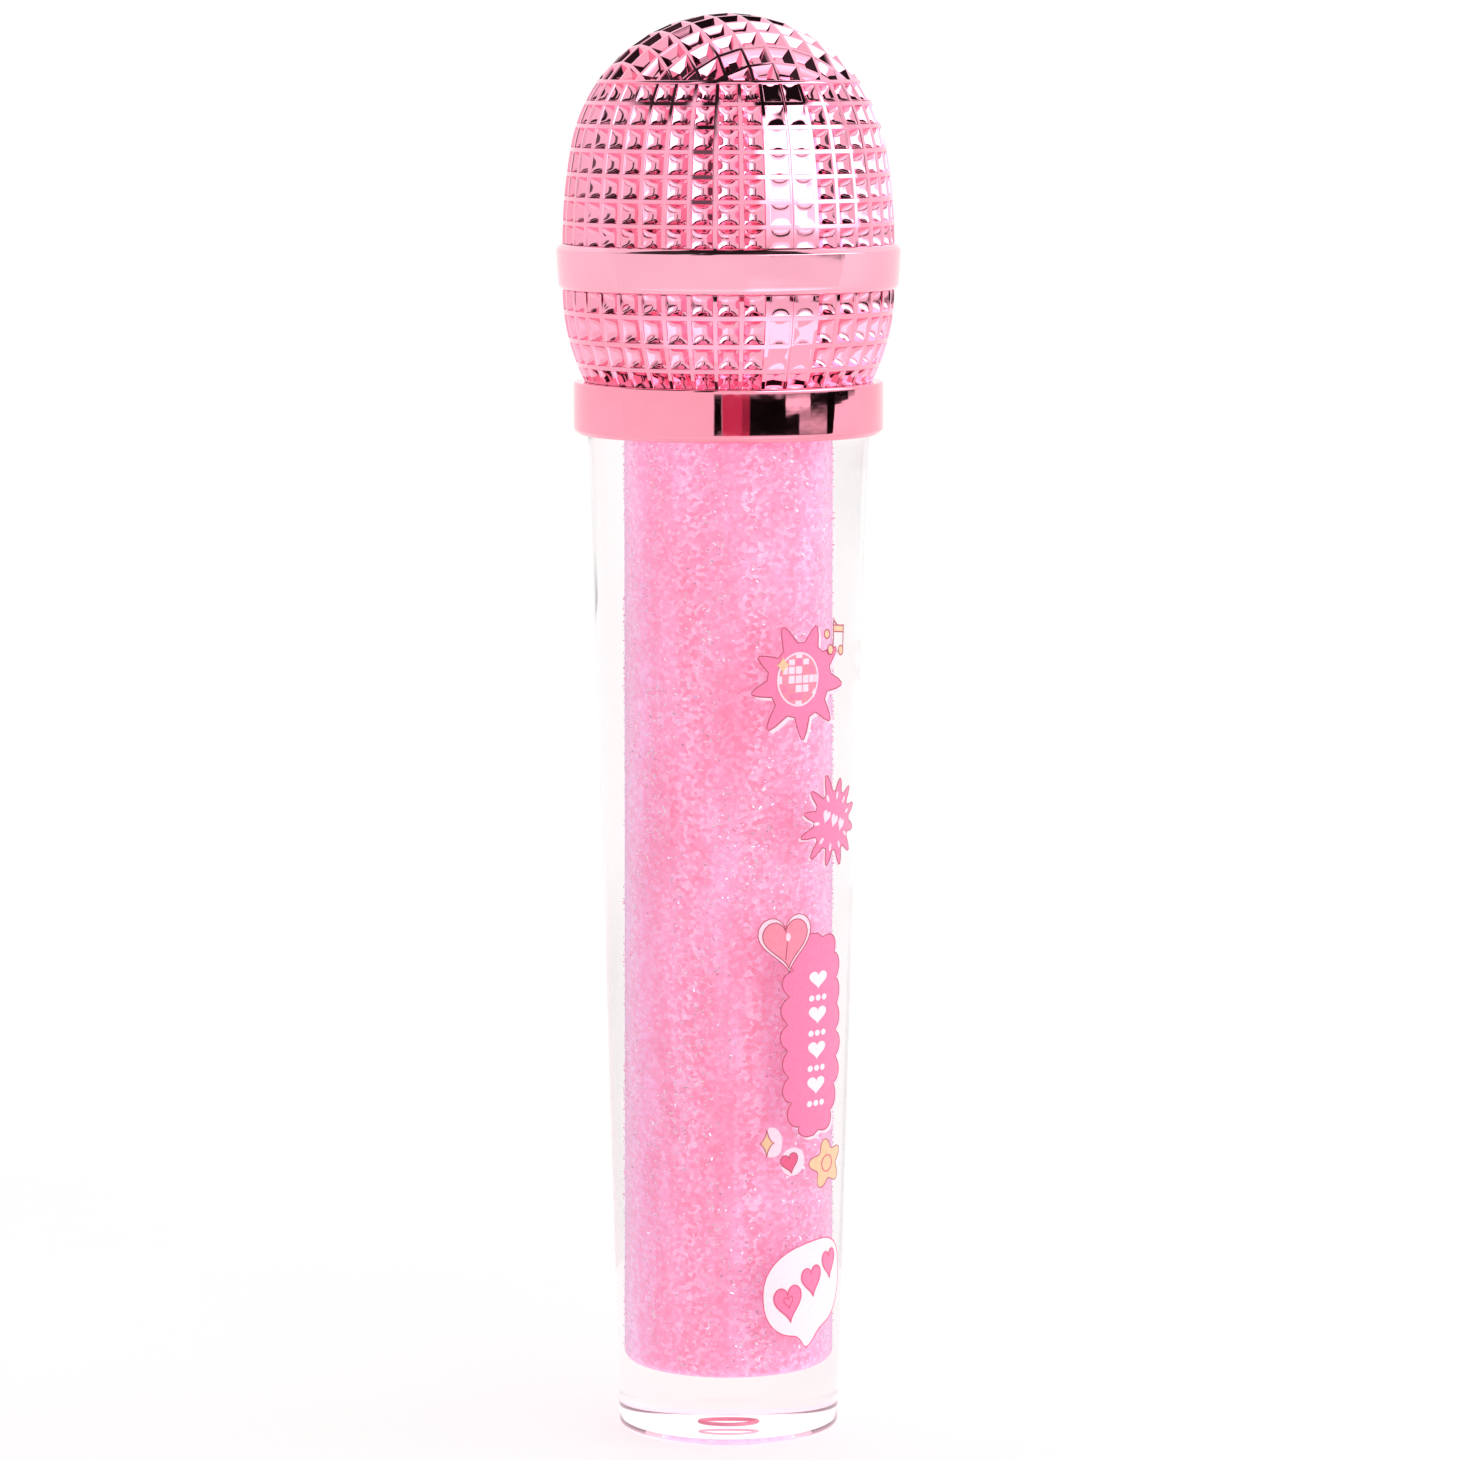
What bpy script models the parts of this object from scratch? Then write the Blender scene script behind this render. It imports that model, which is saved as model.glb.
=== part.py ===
"""Microphone-shaped lip gloss tube.

A thick clear bottle holds the gloss. A metallised cap shaped like a microphone's
grille screws onto the bottle's neck and carries the applicator wand.
Units are metres, +Z is up, and the tube's axis is the world Z axis.
"""

import math

import bmesh
import bpy
from mathutils import Vector

MM = 0.001
GAP = 0.3 * MM  # clearance between pieces that rest on each other

# Bottle
BASE_R = 9.35 * MM
BASE_CORNER = 1.0 * MM
TAPER_TOP_Z = 69.0 * MM
TAPER_TOP_R = 11.25 * MM
SHOULDER_R = 11.9 * MM
SHOULDER_Z = 86.0 * MM
RECESS_R = 7.4 * MM
RECESS_DEPTH = 0.35 * MM
GATE_R = 1.75 * MM
GATE_DEPTH = 0.75 * MM
CHAMBER_R = 5.8 * MM
CHAMBER_FLOOR_Z = 5.4 * MM
CHAMBER_TOP_Z = 84.4 * MM
NECK_BORE_Z = 87.0 * MM  # the chamber narrows to the neck's bore by this height
FLOOR_CORNER = 0.8 * MM
NECK_R = 6.9 * MM
NECK_BORE_R = 4.9 * MM
NECK_TOP_Z = 97.0 * MM

# Screw thread, one and a half turns, shared by the neck and the inner cap
THREAD_PITCH = 2.6 * MM
THREAD_TURNS = 1.5
THREAD_START_Z = 88.6 * MM
NECK_THREAD_R = 7.6 * MM
CAP_BORE_R = 7.95 * MM
CAP_THREAD_R = 7.25 * MM
THREAD_ROOT_HALF = 0.6 * MM
THREAD_CREST_HALF = 0.3 * MM
THREAD_STEPS_PER_TURN = 24
THREAD_SINK = 0.35 * MM  # depth of the ridge's root inside the wall it stands on

# Gloss, wiper and washer
GLOSS_R = CHAMBER_R - GAP
GLOSS_SHOULDER_Z = 84.1 * MM
GLOSS_TOP_R = NECK_BORE_R - GAP
GLOSS_TOP_Z = 86.5 * MM
GLOSS_BORE_R = 2.5 * MM
GLOSS_BORE_FLOOR_Z = 9.5 * MM
WIPER_FLANGE_R = 6.4 * MM
WIPER_FLANGE_T = 0.6 * MM
WIPER_R = NECK_BORE_R - GAP
WIPER_MOUTH_R = 3.6 * MM
WIPER_LIP_R = 2.4 * MM
WIPER_BOTTOM_Z = 88.0 * MM
LINER_R = 6.6 * MM
LINER_HOLE_R = 2.3 * MM
LINER_T = 0.8 * MM

# Wand
STEM_R = 1.9 * MM
STEM_PIN_R = 1.1 * MM
STEM_PIN_Z = 18.0 * MM
STEM_SHOULDER_Z = 24.0 * MM
STEM_HEAD_R = 3.4 * MM
STEM_HEAD_T = 1.4 * MM
TIP_R = 2.1 * MM
TIP_NECK_R = 2.0 * MM
TIP_END_Z = 10.3 * MM

# Inner cap
INNER_CAP_R = 9.4 * MM
INNER_CAP_Z = 86.6 * MM
ROOF_Z = 99.3 * MM
ROOF_T = 1.6 * MM
FLANGE_R = 11.4 * MM
FLANGE_T = 1.1 * MM
RIB_COUNT = 8
RIB_R = 11.3 * MM
RIB_HALF_T = 0.5 * MM
RIB_Z = 92.6 * MM

# Microphone head
COLUMNS = 40
GRID_TURN = math.radians(4.5)
PARTING_TURN = math.radians(-67.5)
TOP_Z = 120.0 * MM
DOME_R = 13.4 * MM
DOME_CENTRE_Z = TOP_Z - DOME_R
DOME_BLEND_Z = 109.0 * MM
HEAD_R = 13.93 * MM
CROWN_Z = 114.35 * MM  # rib circle between the square grid and the side rows
CROWN_STEP = math.radians(9.2)
CROWN_LINES = 5
SIDE_ROWS = 7
HIDDEN_RIB_Z = 100.57 * MM  # lowest side rib, just under the band's top edge
BAND_TOP_Z = 100.85 * MM
BAND_BOTTOM_Z = 97.0 * MM
BAND_R = 14.45 * MM
BAND_INNER_R = 13.7 * MM
SPIGOT_R = 13.4 * MM
SPIGOT_SPLIT_Z = 98.75 * MM
BELLY_R = 16.95 * MM  # profile radius of the head below the band
BELLY_Z = 97.0 * MM
LOWER_RIBS_Z = (95.15 * MM, 92.8 * MM, 90.75 * MM)
HEAD_WALL = 1.9 * MM
POCKET_INSET = 0.5 * MM
POCKET_DEPTH = 0.45 * MM
POCKET_MIN_AREA = 1.3 * MM * MM
LOWER_INNER_R = 11.7 * MM
LOWER_MOUTH_R = 10.2 * MM

# Collar
COLLAR_R = 13.03 * MM
COLLAR_TOP_Z = 89.3 * MM
COLLAR_BOTTOM_Z = 84.9 * MM
COLLAR_SKIRT_R = 12.25 * MM
COLLAR_WEB_T = 1.2 * MM
COLLAR_CHAMFER = 0.35 * MM


def clear_scene():
    for obj in list(bpy.data.objects):
        bpy.data.objects.remove(obj, do_unlink=True)


def material(name, colour, roughness, metallic=0.0, alpha=1.0, transmission=0.0):
    mat = bpy.data.materials.new(name)
    mat.use_nodes = True
    shader = mat.node_tree.nodes["Principled BSDF"]
    shader.inputs["Base Color"].default_value = (*colour, 1.0)
    shader.inputs["Roughness"].default_value = roughness
    shader.inputs["Metallic"].default_value = metallic
    shader.inputs["Alpha"].default_value = alpha
    shader.inputs["Transmission Weight"].default_value = transmission
    mat.diffuse_color = (*colour, alpha)
    return mat


def add_object(name, bm, mat, parent=None):
    """Turn a bmesh into a smooth-shaded object whose origin is on the tube's axis."""
    bmesh.ops.recalc_face_normals(bm, faces=bm.faces)
    mesh = bpy.data.meshes.new(name)
    bm.to_mesh(mesh)
    bm.free()
    mesh.shade_smooth()
    mesh.set_sharp_from_angle(angle=math.radians(32))
    mesh.materials.append(mat)
    obj = bpy.data.objects.new(name, mesh)
    obj.parent = parent
    bpy.context.scene.collection.objects.link(obj)
    return obj


def add_axis(name, z, parent=None):
    """An empty on the tube's axis that the pieces of one moving body hang from."""
    empty = bpy.data.objects.new(name, None)
    empty.empty_display_size = 10 * MM
    bpy.context.scene.collection.objects.link(empty)
    empty.parent = parent
    empty.location.z = z - (parent.matrix_world.translation.z if parent else 0.0)
    bpy.context.view_layer.update()
    return empty


def add_ring(bm, r, z, segments, turn=0.0):
    """One ring of vertices, or a single vertex where the radius is zero."""
    if r <= 0.0:
        return [bm.verts.new((0.0, 0.0, z))]
    step = math.tau / segments
    angles = [turn + step * k for k in range(segments)]
    return [bm.verts.new((r * math.cos(a), r * math.sin(a), z)) for a in angles]


def join_rings(bm, lower, upper):
    """Faces between two rings, and triangles where one of them is a point."""
    count = max(len(lower), len(upper))
    faces = []
    for k in range(count):
        after = (k + 1) % count
        if len(lower) == 1:
            corners = (lower[0], upper[after], upper[k])
        elif len(upper) == 1:
            corners = (lower[k], lower[after], upper[0])
        else:
            corners = (lower[k], lower[after], upper[after], upper[k])
        faces.append(bm.faces.new(corners))
    return faces


def turned(profile, segments, turn=0.0, z0=0.0):
    """Revolve a profile of (radius, height) points; it closes on itself or on the axis."""
    bm = bmesh.new()
    rings = [add_ring(bm, r, z - z0, segments, turn) for r, z in profile]
    for lower, upper in zip(rings, rings[1:]):
        join_rings(bm, lower, upper)
    if len(rings[0]) > 1:
        join_rings(bm, rings[-1], rings[0])
    return bm


def corner(centre_r, centre_z, radius, start_deg, end_deg, steps):
    """Points of a circular arc in the (radius, height) plane."""
    points = []
    for k in range(steps + 1):
        a = math.radians(start_deg + (end_deg - start_deg) * k / steps)
        points.append((centre_r + radius * math.cos(a), centre_z + radius * math.sin(a)))
    return points


def thread_ridge(name, wall_r, crest_r, start_z, z0=0.0):
    """A helical ridge that rises from a wall and tapers into it at both ends."""
    bm = bmesh.new()
    outward = 1.0 if crest_r > wall_r else -1.0
    root_r = wall_r - outward * THREAD_SINK
    steps = round(THREAD_TURNS * THREAD_STEPS_PER_TURN)
    sections = []
    for k in range(steps + 1):
        a = math.tau * k / THREAD_STEPS_PER_TURN
        z = start_z - z0 + THREAD_PITCH * k / THREAD_STEPS_PER_TURN
        ends = min(1.0, k / 3, (steps - k) / 3)
        top_r = wall_r + (crest_r - wall_r) * (0.15 + 0.85 * ends)
        corners = (
            (root_r, z - THREAD_ROOT_HALF),
            (top_r, z - THREAD_CREST_HALF),
            (top_r, z + THREAD_CREST_HALF),
            (root_r, z + THREAD_ROOT_HALF),
        )
        ring = [bm.verts.new((r * math.cos(a), r * math.sin(a), h)) for r, h in corners]
        sections.append(ring)
    for first, second in zip(sections, sections[1:]):
        join_rings(bm, first, second)
    bm.faces.new(sections[0])
    bm.faces.new(sections[-1])
    return add_object(name, bm, bpy.data.materials["guide"])


def add_boolean(obj, tool, operation):
    modifier = obj.modifiers.new(f"{operation.lower()}_{tool.name}", "BOOLEAN")
    modifier.operation = operation
    modifier.object = tool
    modifier.solver = "EXACT"
    tool.hide_render = True
    tool.display_type = "WIRE"


def bottle_outer_r(z):
    """Radius of the bottle's tapered side, with the slight flare under the cap."""
    slope = (TAPER_TOP_R - BASE_R) / (TAPER_TOP_Z - BASE_CORNER)
    straight = BASE_R + slope * (z - BASE_CORNER)
    if z <= TAPER_TOP_Z:
        return straight
    t = (z - TAPER_TOP_Z) / (SHOULDER_Z - TAPER_TOP_Z)
    flare = SHOULDER_R - (BASE_R + slope * (SHOULDER_Z - BASE_CORNER))
    return straight + flare * t * t


def make_bottle(mat):
    recess_z = RECESS_DEPTH
    profile = [(0.0, recess_z + GATE_DEPTH), (GATE_R * 0.8, recess_z + GATE_DEPTH)]
    profile += [(GATE_R, recess_z), (RECESS_R - RECESS_DEPTH, recess_z), (RECESS_R, 0.0)]
    profile += corner(BASE_R - BASE_CORNER, BASE_CORNER, BASE_CORNER, -90, 0, 4)
    for z in (24 * MM, 47 * MM, 69 * MM, 74.5 * MM, 80 * MM, SHOULDER_Z - 0.4 * MM):
        profile.append((bottle_outer_r(z), z))
    profile += [(SHOULDER_R - 0.4 * MM, SHOULDER_Z), (NECK_R, SHOULDER_Z)]
    profile += [(NECK_R, NECK_TOP_Z - 0.3 * MM), (NECK_R - 0.3 * MM, NECK_TOP_Z)]
    profile += [(NECK_BORE_R, NECK_TOP_Z), (NECK_BORE_R, NECK_BORE_Z)]
    profile += [(CHAMBER_R, CHAMBER_TOP_Z)]
    floor_z = CHAMBER_FLOOR_Z + FLOOR_CORNER
    profile += corner(CHAMBER_R - FLOOR_CORNER, floor_z, FLOOR_CORNER, 0, -90, 3)
    profile += [(0.0, CHAMBER_FLOOR_Z)]
    bottle = add_object("bottle", turned(profile, 48), mat)
    ridge = thread_ridge("neck_thread", NECK_R, NECK_THREAD_R, THREAD_START_Z)
    add_boolean(bottle, ridge, "UNION")


def make_gloss(mat):
    floor_z = CHAMBER_FLOOR_Z + GAP
    profile = [(0.0, floor_z)]
    profile += corner(GLOSS_R - FLOOR_CORNER, floor_z + FLOOR_CORNER, FLOOR_CORNER, -90, 0, 3)
    profile += [(GLOSS_R, GLOSS_SHOULDER_Z), (GLOSS_TOP_R, GLOSS_TOP_Z)]
    profile += [(GLOSS_BORE_R, GLOSS_TOP_Z)]
    profile += [(GLOSS_BORE_R, GLOSS_BORE_FLOOR_Z), (0.0, GLOSS_BORE_FLOOR_Z)]
    add_object("gloss_fill", turned(profile, 40), mat)


def make_wiper(mat):
    flange_z = NECK_TOP_Z + GAP
    top_z = flange_z + WIPER_FLANGE_T
    profile = [(WIPER_LIP_R, WIPER_BOTTOM_Z), (WIPER_R - 0.6 * MM, WIPER_BOTTOM_Z)]
    profile += [(WIPER_R, WIPER_BOTTOM_Z + 0.8 * MM), (WIPER_R, flange_z)]
    profile += [(WIPER_FLANGE_R, flange_z), (WIPER_FLANGE_R, top_z)]
    profile += [(WIPER_MOUTH_R, top_z), (WIPER_MOUTH_R, WIPER_BOTTOM_Z + 3.2 * MM)]
    profile += [(WIPER_LIP_R, WIPER_BOTTOM_Z + 0.9 * MM)]
    add_object("wiper", turned(profile, 40), mat)


def make_liner(mat, parent):
    z0 = parent.matrix_world.translation.z
    low_z = NECK_TOP_Z + 2 * GAP + WIPER_FLANGE_T
    high_z = low_z + LINER_T
    profile = [(LINER_HOLE_R, low_z), (LINER_R, low_z), (LINER_R, high_z)]
    profile += [(LINER_HOLE_R, high_z)]
    add_object("liner", turned(profile, 40, z0=z0), mat, parent)


def make_wand(stem_mat, tip_mat, parent):
    z0 = parent.matrix_world.translation.z
    head_z = ROOF_Z + ROOF_T + GAP
    chamfer = 0.3 * MM
    profile = [(0.0, STEM_PIN_Z), (STEM_PIN_R, STEM_PIN_Z)]
    profile += [(STEM_PIN_R, STEM_SHOULDER_Z), (STEM_R, STEM_SHOULDER_Z), (STEM_R, head_z)]
    profile += [(STEM_HEAD_R, head_z), (STEM_HEAD_R, head_z + STEM_HEAD_T - chamfer)]
    profile += [(STEM_HEAD_R - chamfer, head_z + STEM_HEAD_T), (0.0, head_z + STEM_HEAD_T)]
    add_object("wand_stem", turned(profile, 32, z0=z0), stem_mat, parent)

    socket_r = STEM_PIN_R + GAP
    top_z = STEM_SHOULDER_Z - GAP
    profile = [(0.0, STEM_PIN_Z - GAP), (socket_r, STEM_PIN_Z - GAP), (socket_r, top_z)]
    profile += [(TIP_NECK_R, top_z), (TIP_R, 17.0 * MM), (TIP_R, 12.4 * MM)]
    profile += [(1.75 * MM, 11.1 * MM), (1.0 * MM, 10.5 * MM), (0.0, TIP_END_Z)]
    bm = turned(profile, 32, z0=z0)
    # One oblique flat across the end makes the doe-foot shape.
    cut = bmesh.ops.bisect_plane(
        bm,
        geom=bm.verts[:] + bm.edges[:] + bm.faces[:],
        dist=1e-7,
        plane_co=(-0.7 * MM, 0.0, 10.4 * MM - z0),
        plane_no=(7.2, 0.0, -3.1),
        clear_outer=True,
    )
    rim = [e for e in cut["geom_cut"] if isinstance(e, bmesh.types.BMEdge)]
    bmesh.ops.edgeloop_fill(bm, edges=rim)
    add_object("applicator_tip", bm, tip_mat, parent)


def make_inner_cap(mat, parent):
    z0 = parent.matrix_world.translation.z
    roof_top_z = ROOF_Z + ROOF_T
    hole_r = STEM_R + 0.4 * MM
    profile = [(CAP_BORE_R, INNER_CAP_Z), (INNER_CAP_R, INNER_CAP_Z)]
    profile += [(INNER_CAP_R, roof_top_z - FLANGE_T), (FLANGE_R, roof_top_z - FLANGE_T)]
    profile += [(FLANGE_R, roof_top_z), (hole_r, roof_top_z), (hole_r, ROOF_Z)]
    profile += [(CAP_BORE_R, ROOF_Z)]
    cap = add_object("inner_cap", turned(profile, 48, z0=z0), mat, parent)
    # The cap's ridge runs half a pitch under the neck's ridge.
    start_z = THREAD_START_Z - THREAD_PITCH / 2
    ridge = thread_ridge("cap_thread", CAP_BORE_R, CAP_THREAD_R, start_z, z0)
    ridge.parent = parent
    add_boolean(cap, ridge, "UNION")

    bm = bmesh.new()
    for k in range(RIB_COUNT):
        a = math.tau * (k + 0.5) / RIB_COUNT
        along = Vector((math.cos(a), math.sin(a), 0.0))
        across = Vector((-math.sin(a), math.cos(a), 0.0)) * RIB_HALF_T
        inner = along * (INNER_CAP_R - 0.6 * MM)
        outer = along * RIB_R
        flat = [inner - across, outer - across, outer + across, inner + across]
        rings = []
        for z in (RIB_Z - z0, roof_top_z - 0.4 * MM - z0):
            rings.append([bm.verts.new((p.x, p.y, z)) for p in flat])
        join_rings(bm, *rings)
        for ring in rings:
            bm.faces.new(ring)
    ribs = add_object("cap_ribs", bm, bpy.data.materials["guide"], parent)
    add_boolean(cap, ribs, "UNION")


def dome_r(z):
    """Outer radius of the head above the band: a ball that eases into a fuller side."""
    if z >= DOME_BLEND_Z:
        return math.sqrt(max(0.0, DOME_R**2 - (z - DOME_CENTRE_Z) ** 2))
    blend_r = math.sqrt(DOME_R**2 - (DOME_BLEND_Z - DOME_CENTRE_Z) ** 2)
    t = (DOME_BLEND_Z - z) / (DOME_BLEND_Z - BAND_TOP_Z)
    return blend_r + (HEAD_R - blend_r) * (1.0 - (1.0 - t) ** 2)


def belly_r(z):
    """Outer radius of the head below the band."""
    return HEAD_R - BELLY_R + math.sqrt(BELLY_R**2 - (z - BELLY_Z) ** 2)


def even_heights(radius_at, top_z, bottom_z, rows):
    """Heights that split a turned profile into rows of equal length along its surface."""
    samples = 400
    zs = [top_z + (bottom_z - top_z) * k / samples for k in range(samples + 1)]
    lengths = [0.0]
    for z1, z2 in zip(zs, zs[1:]):
        lengths.append(lengths[-1] + math.hypot(z2 - z1, radius_at(z2) - radius_at(z1)))
    heights = [top_z]
    for row in range(1, rows):
        target = lengths[-1] * row / rows
        index = next(k for k, length in enumerate(lengths) if length >= target)
        heights.append(zs[index])
    return heights + [bottom_z]


def cut_crown(bm, ring, z0):
    """Fill the top ring with a square grid of cells and lift it onto the ball."""
    top = bm.faces.new(ring)
    inside = {top}
    for family in range(2):
        a = PARTING_TURN + family * math.pi / 2
        normal = Vector((math.cos(a), math.sin(a), 0.0))
        for k in range(-CROWN_LINES, CROWN_LINES + 1):
            offset = DOME_R * math.sin(CROWN_STEP * k)
            edges = {e for f in inside for e in f.edges}
            verts = {v for f in inside for v in f.verts}
            before = set(bm.faces) - inside
            bmesh.ops.bisect_plane(
                bm,
                geom=list(verts) + list(edges) + list(inside),
                dist=2e-5,
                plane_co=normal * offset + Vector((0.0, 0.0, ring[0].co.z)),
                plane_no=normal,
            )
            inside = set(bm.faces) - before
    rim_r = dome_r(CROWN_Z) * math.cos(math.pi / COLUMNS) - 2e-5
    for v in {v for f in inside for v in f.verts}:
        r = math.hypot(v.co.x, v.co.y)
        if r < rim_r:
            v.co.z = DOME_CENTRE_Z - z0 + math.sqrt(DOME_R**2 - r * r)
    return list(inside)


def sink_pockets(bm, cells):
    """Slope each cell down to a smaller floor, which leaves ribs between the cells."""
    roomy = [f for f in cells if f.calc_area() > POCKET_MIN_AREA]
    bmesh.ops.inset_individual(
        bm,
        faces=roomy,
        thickness=POCKET_INSET,
        depth=-POCKET_DEPTH,
        use_even_offset=True,
    )


def make_grille_dome(mat, parent):
    z0 = parent.matrix_world.translation.z
    bm = bmesh.new()
    low_z = BAND_TOP_Z + GAP
    heights = even_heights(dome_r, CROWN_Z, HIDDEN_RIB_Z, SIDE_ROWS)[:-1] + [low_z]
    rows = [add_ring(bm, dome_r(z), z - z0, COLUMNS, GRID_TURN) for z in heights]
    cells = []
    for upper, lower in zip(rows, rows[1:]):
        cells += join_rings(bm, lower, upper)
    inner_r = DOME_R - HEAD_WALL
    spigot_z = SPIGOT_SPLIT_Z + GAP / 2
    inside = [(SPIGOT_R, low_z), (SPIGOT_R, spigot_z), (inner_r + 0.3 * MM, spigot_z)]
    inside += [(inner_r + 0.3 * MM, DOME_CENTRE_Z - 3 * MM)]
    inside += corner(0.0, DOME_CENTRE_Z, inner_r, 10, 75, 4)
    inside += [(0.0, DOME_CENTRE_Z + inner_r)]
    rings = [rows[-1]] + [add_ring(bm, r, z - z0, COLUMNS, GRID_TURN) for r, z in inside]
    for first, second in zip(rings, rings[1:]):
        join_rings(bm, first, second)
    cells += cut_crown(bm, rows[0], z0)
    bmesh.ops.recalc_face_normals(bm, faces=bm.faces)
    sink_pockets(bm, cells)
    add_object("grille_dome", bm, mat, parent)


def make_grille_base(mat, parent):
    z0 = parent.matrix_world.translation.z
    bm = bmesh.new()
    heights = (BAND_BOTTOM_Z - GAP, *LOWER_RIBS_Z, COLLAR_TOP_Z + GAP)
    rows = [add_ring(bm, belly_r(z), z - z0, COLUMNS, GRID_TURN) for z in heights]
    cells = []
    for upper, lower in zip(rows[:-1], rows[1:-1]):
        cells += join_rings(bm, lower, upper)
    join_rings(bm, rows[-1], rows[-2])
    spigot_z = SPIGOT_SPLIT_Z - GAP / 2
    inside = [(LOWER_MOUTH_R, COLLAR_TOP_Z + GAP), (LOWER_MOUTH_R, 90.2 * MM)]
    inside += [(LOWER_INNER_R, 92.2 * MM), (LOWER_INNER_R, spigot_z)]
    inside += [(SPIGOT_R, spigot_z), (SPIGOT_R, BAND_BOTTOM_Z - GAP)]
    rings = [rows[-1]] + [add_ring(bm, r, z - z0, COLUMNS, GRID_TURN) for r, z in inside]
    for first, second in zip(rings, rings[1:] + [rows[0]]):
        join_rings(bm, first, second)
    bmesh.ops.recalc_face_normals(bm, faces=bm.faces)
    sink_pockets(bm, cells)
    add_object("grille_base", bm, mat, parent)


def make_centre_band(mat, parent):
    z0 = parent.matrix_world.translation.z
    top_round = 0.35 * MM
    low_round = 0.7 * MM
    profile = [(BAND_INNER_R, BAND_BOTTOM_Z)]
    profile += corner(BAND_R - low_round, BAND_BOTTOM_Z + low_round, low_round, -90, 0, 4)
    profile += corner(BAND_R - top_round, BAND_TOP_Z - top_round, top_round, 0, 90, 3)
    profile += [(BAND_INNER_R, BAND_TOP_Z)]
    add_object("centre_band", turned(profile, 56, z0=z0), mat, parent)


def make_collar(mat, parent):
    z0 = parent.matrix_world.translation.z
    web_z = COLLAR_TOP_Z - COLLAR_WEB_T
    bore_r = INNER_CAP_R + GAP
    edge = 0.2 * MM
    profile = [(bore_r, web_z), (COLLAR_SKIRT_R, web_z), (COLLAR_SKIRT_R, COLLAR_BOTTOM_Z)]
    profile += [(COLLAR_R - COLLAR_CHAMFER, COLLAR_BOTTOM_Z)]
    profile += [(COLLAR_R, COLLAR_BOTTOM_Z + COLLAR_CHAMFER)]
    profile += [(COLLAR_R, COLLAR_TOP_Z - edge), (COLLAR_R - edge, COLLAR_TOP_Z)]
    profile += [(bore_r, COLLAR_TOP_Z)]
    add_object("collar", turned(profile, 56, z0=z0), mat, parent)


def main():
    clear_scene()
    material("guide", (0.5, 0.5, 0.5), 0.5)
    clear_plastic = material("clear_plastic", (0.98, 0.97, 0.97), 0.03, 0.0, 0.35, 1.0)
    gloss = material("glitter_gloss", (0.93, 0.33, 0.52), 0.25)
    wiper = material("soft_plastic", (0.9, 0.9, 0.9), 0.45)
    washer = material("washer_foam", (0.93, 0.93, 0.91), 0.7)
    stem = material("stem_plastic", (0.95, 0.93, 0.94), 0.15, 0.0, 0.6, 0.8)
    flock = material("flocked_tip", (0.93, 0.85, 0.86), 0.95)
    plug = material("plug_plastic", (0.94, 0.94, 0.94), 0.35)
    grille_top = material("grille_metallised", (0.96, 0.42, 0.52), 0.12, 1.0)
    grille_low = material("lower_grille_metallised", (0.96, 0.42, 0.52), 0.12, 1.0)
    band = material("band_metallised", (0.97, 0.45, 0.55), 0.07, 1.0)
    ring = material("collar_metallised", (0.95, 0.38, 0.46), 0.07, 1.0)

    pull_axis = add_axis("cap_pull_axis", NECK_TOP_Z)
    rise_axis = add_axis("thread_rise_axis", THREAD_START_Z, pull_axis)
    turn_axis = add_axis("cap_turn_axis", THREAD_START_Z, rise_axis)

    make_bottle(clear_plastic)
    make_gloss(gloss)
    make_wiper(wiper)
    make_liner(washer, pull_axis)
    make_wand(stem, flock, rise_axis)
    make_inner_cap(plug, turn_axis)
    make_grille_dome(grille_top, turn_axis)
    make_centre_band(band, turn_axis)
    make_grille_base(grille_low, turn_axis)
    make_collar(ring, turn_axis)


main()
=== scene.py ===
import random
from math import atan2, ceil, copysign, cos, degrees, hypot, pi, radians, sin, sqrt, tau

import bmesh
import bpy
from mathutils import Matrix, Vector, noise


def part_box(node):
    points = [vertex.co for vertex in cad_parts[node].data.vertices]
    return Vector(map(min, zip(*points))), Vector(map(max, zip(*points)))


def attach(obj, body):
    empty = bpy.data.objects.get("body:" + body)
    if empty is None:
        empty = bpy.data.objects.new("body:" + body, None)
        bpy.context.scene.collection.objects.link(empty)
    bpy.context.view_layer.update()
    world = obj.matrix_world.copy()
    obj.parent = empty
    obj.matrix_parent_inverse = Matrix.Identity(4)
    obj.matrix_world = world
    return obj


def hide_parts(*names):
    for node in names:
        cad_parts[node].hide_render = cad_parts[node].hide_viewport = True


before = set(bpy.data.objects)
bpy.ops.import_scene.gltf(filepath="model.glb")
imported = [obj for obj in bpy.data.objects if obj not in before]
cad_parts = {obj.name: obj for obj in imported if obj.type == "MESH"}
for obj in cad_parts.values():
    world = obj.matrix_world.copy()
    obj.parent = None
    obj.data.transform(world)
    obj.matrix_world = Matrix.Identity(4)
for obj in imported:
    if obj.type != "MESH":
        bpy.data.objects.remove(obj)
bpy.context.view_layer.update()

MM = 0.001
SEGMENTS = 192


def z_range(name):
    low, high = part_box(name)
    return low.z, high.z


# Heights and radii that the CAD frame gives
BOTTLE_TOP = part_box("bottle")[1].z
GLOSS_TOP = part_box("gloss_fill")[1].z
BAND_LOW, BAND_HIGH = z_range("centre_band")
BAND_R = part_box("centre_band")[1].x
COLLAR_LOW, COLLAR_HIGH = z_range("collar")
COLLAR_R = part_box("collar")[1].x
HEAD_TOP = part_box("grille_dome")[1].z
CAP_LOW, CAP_HIGH = z_range("inner_cap")
LINER_LOW, LINER_HIGH = z_range("liner")
WIPER_LOW, WIPER_HIGH = z_range("wiper")
STEM_LOW, STEM_HIGH = z_range("wand_stem")
TIP_LOW, TIP_HIGH = z_range("applicator_tip")

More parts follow.
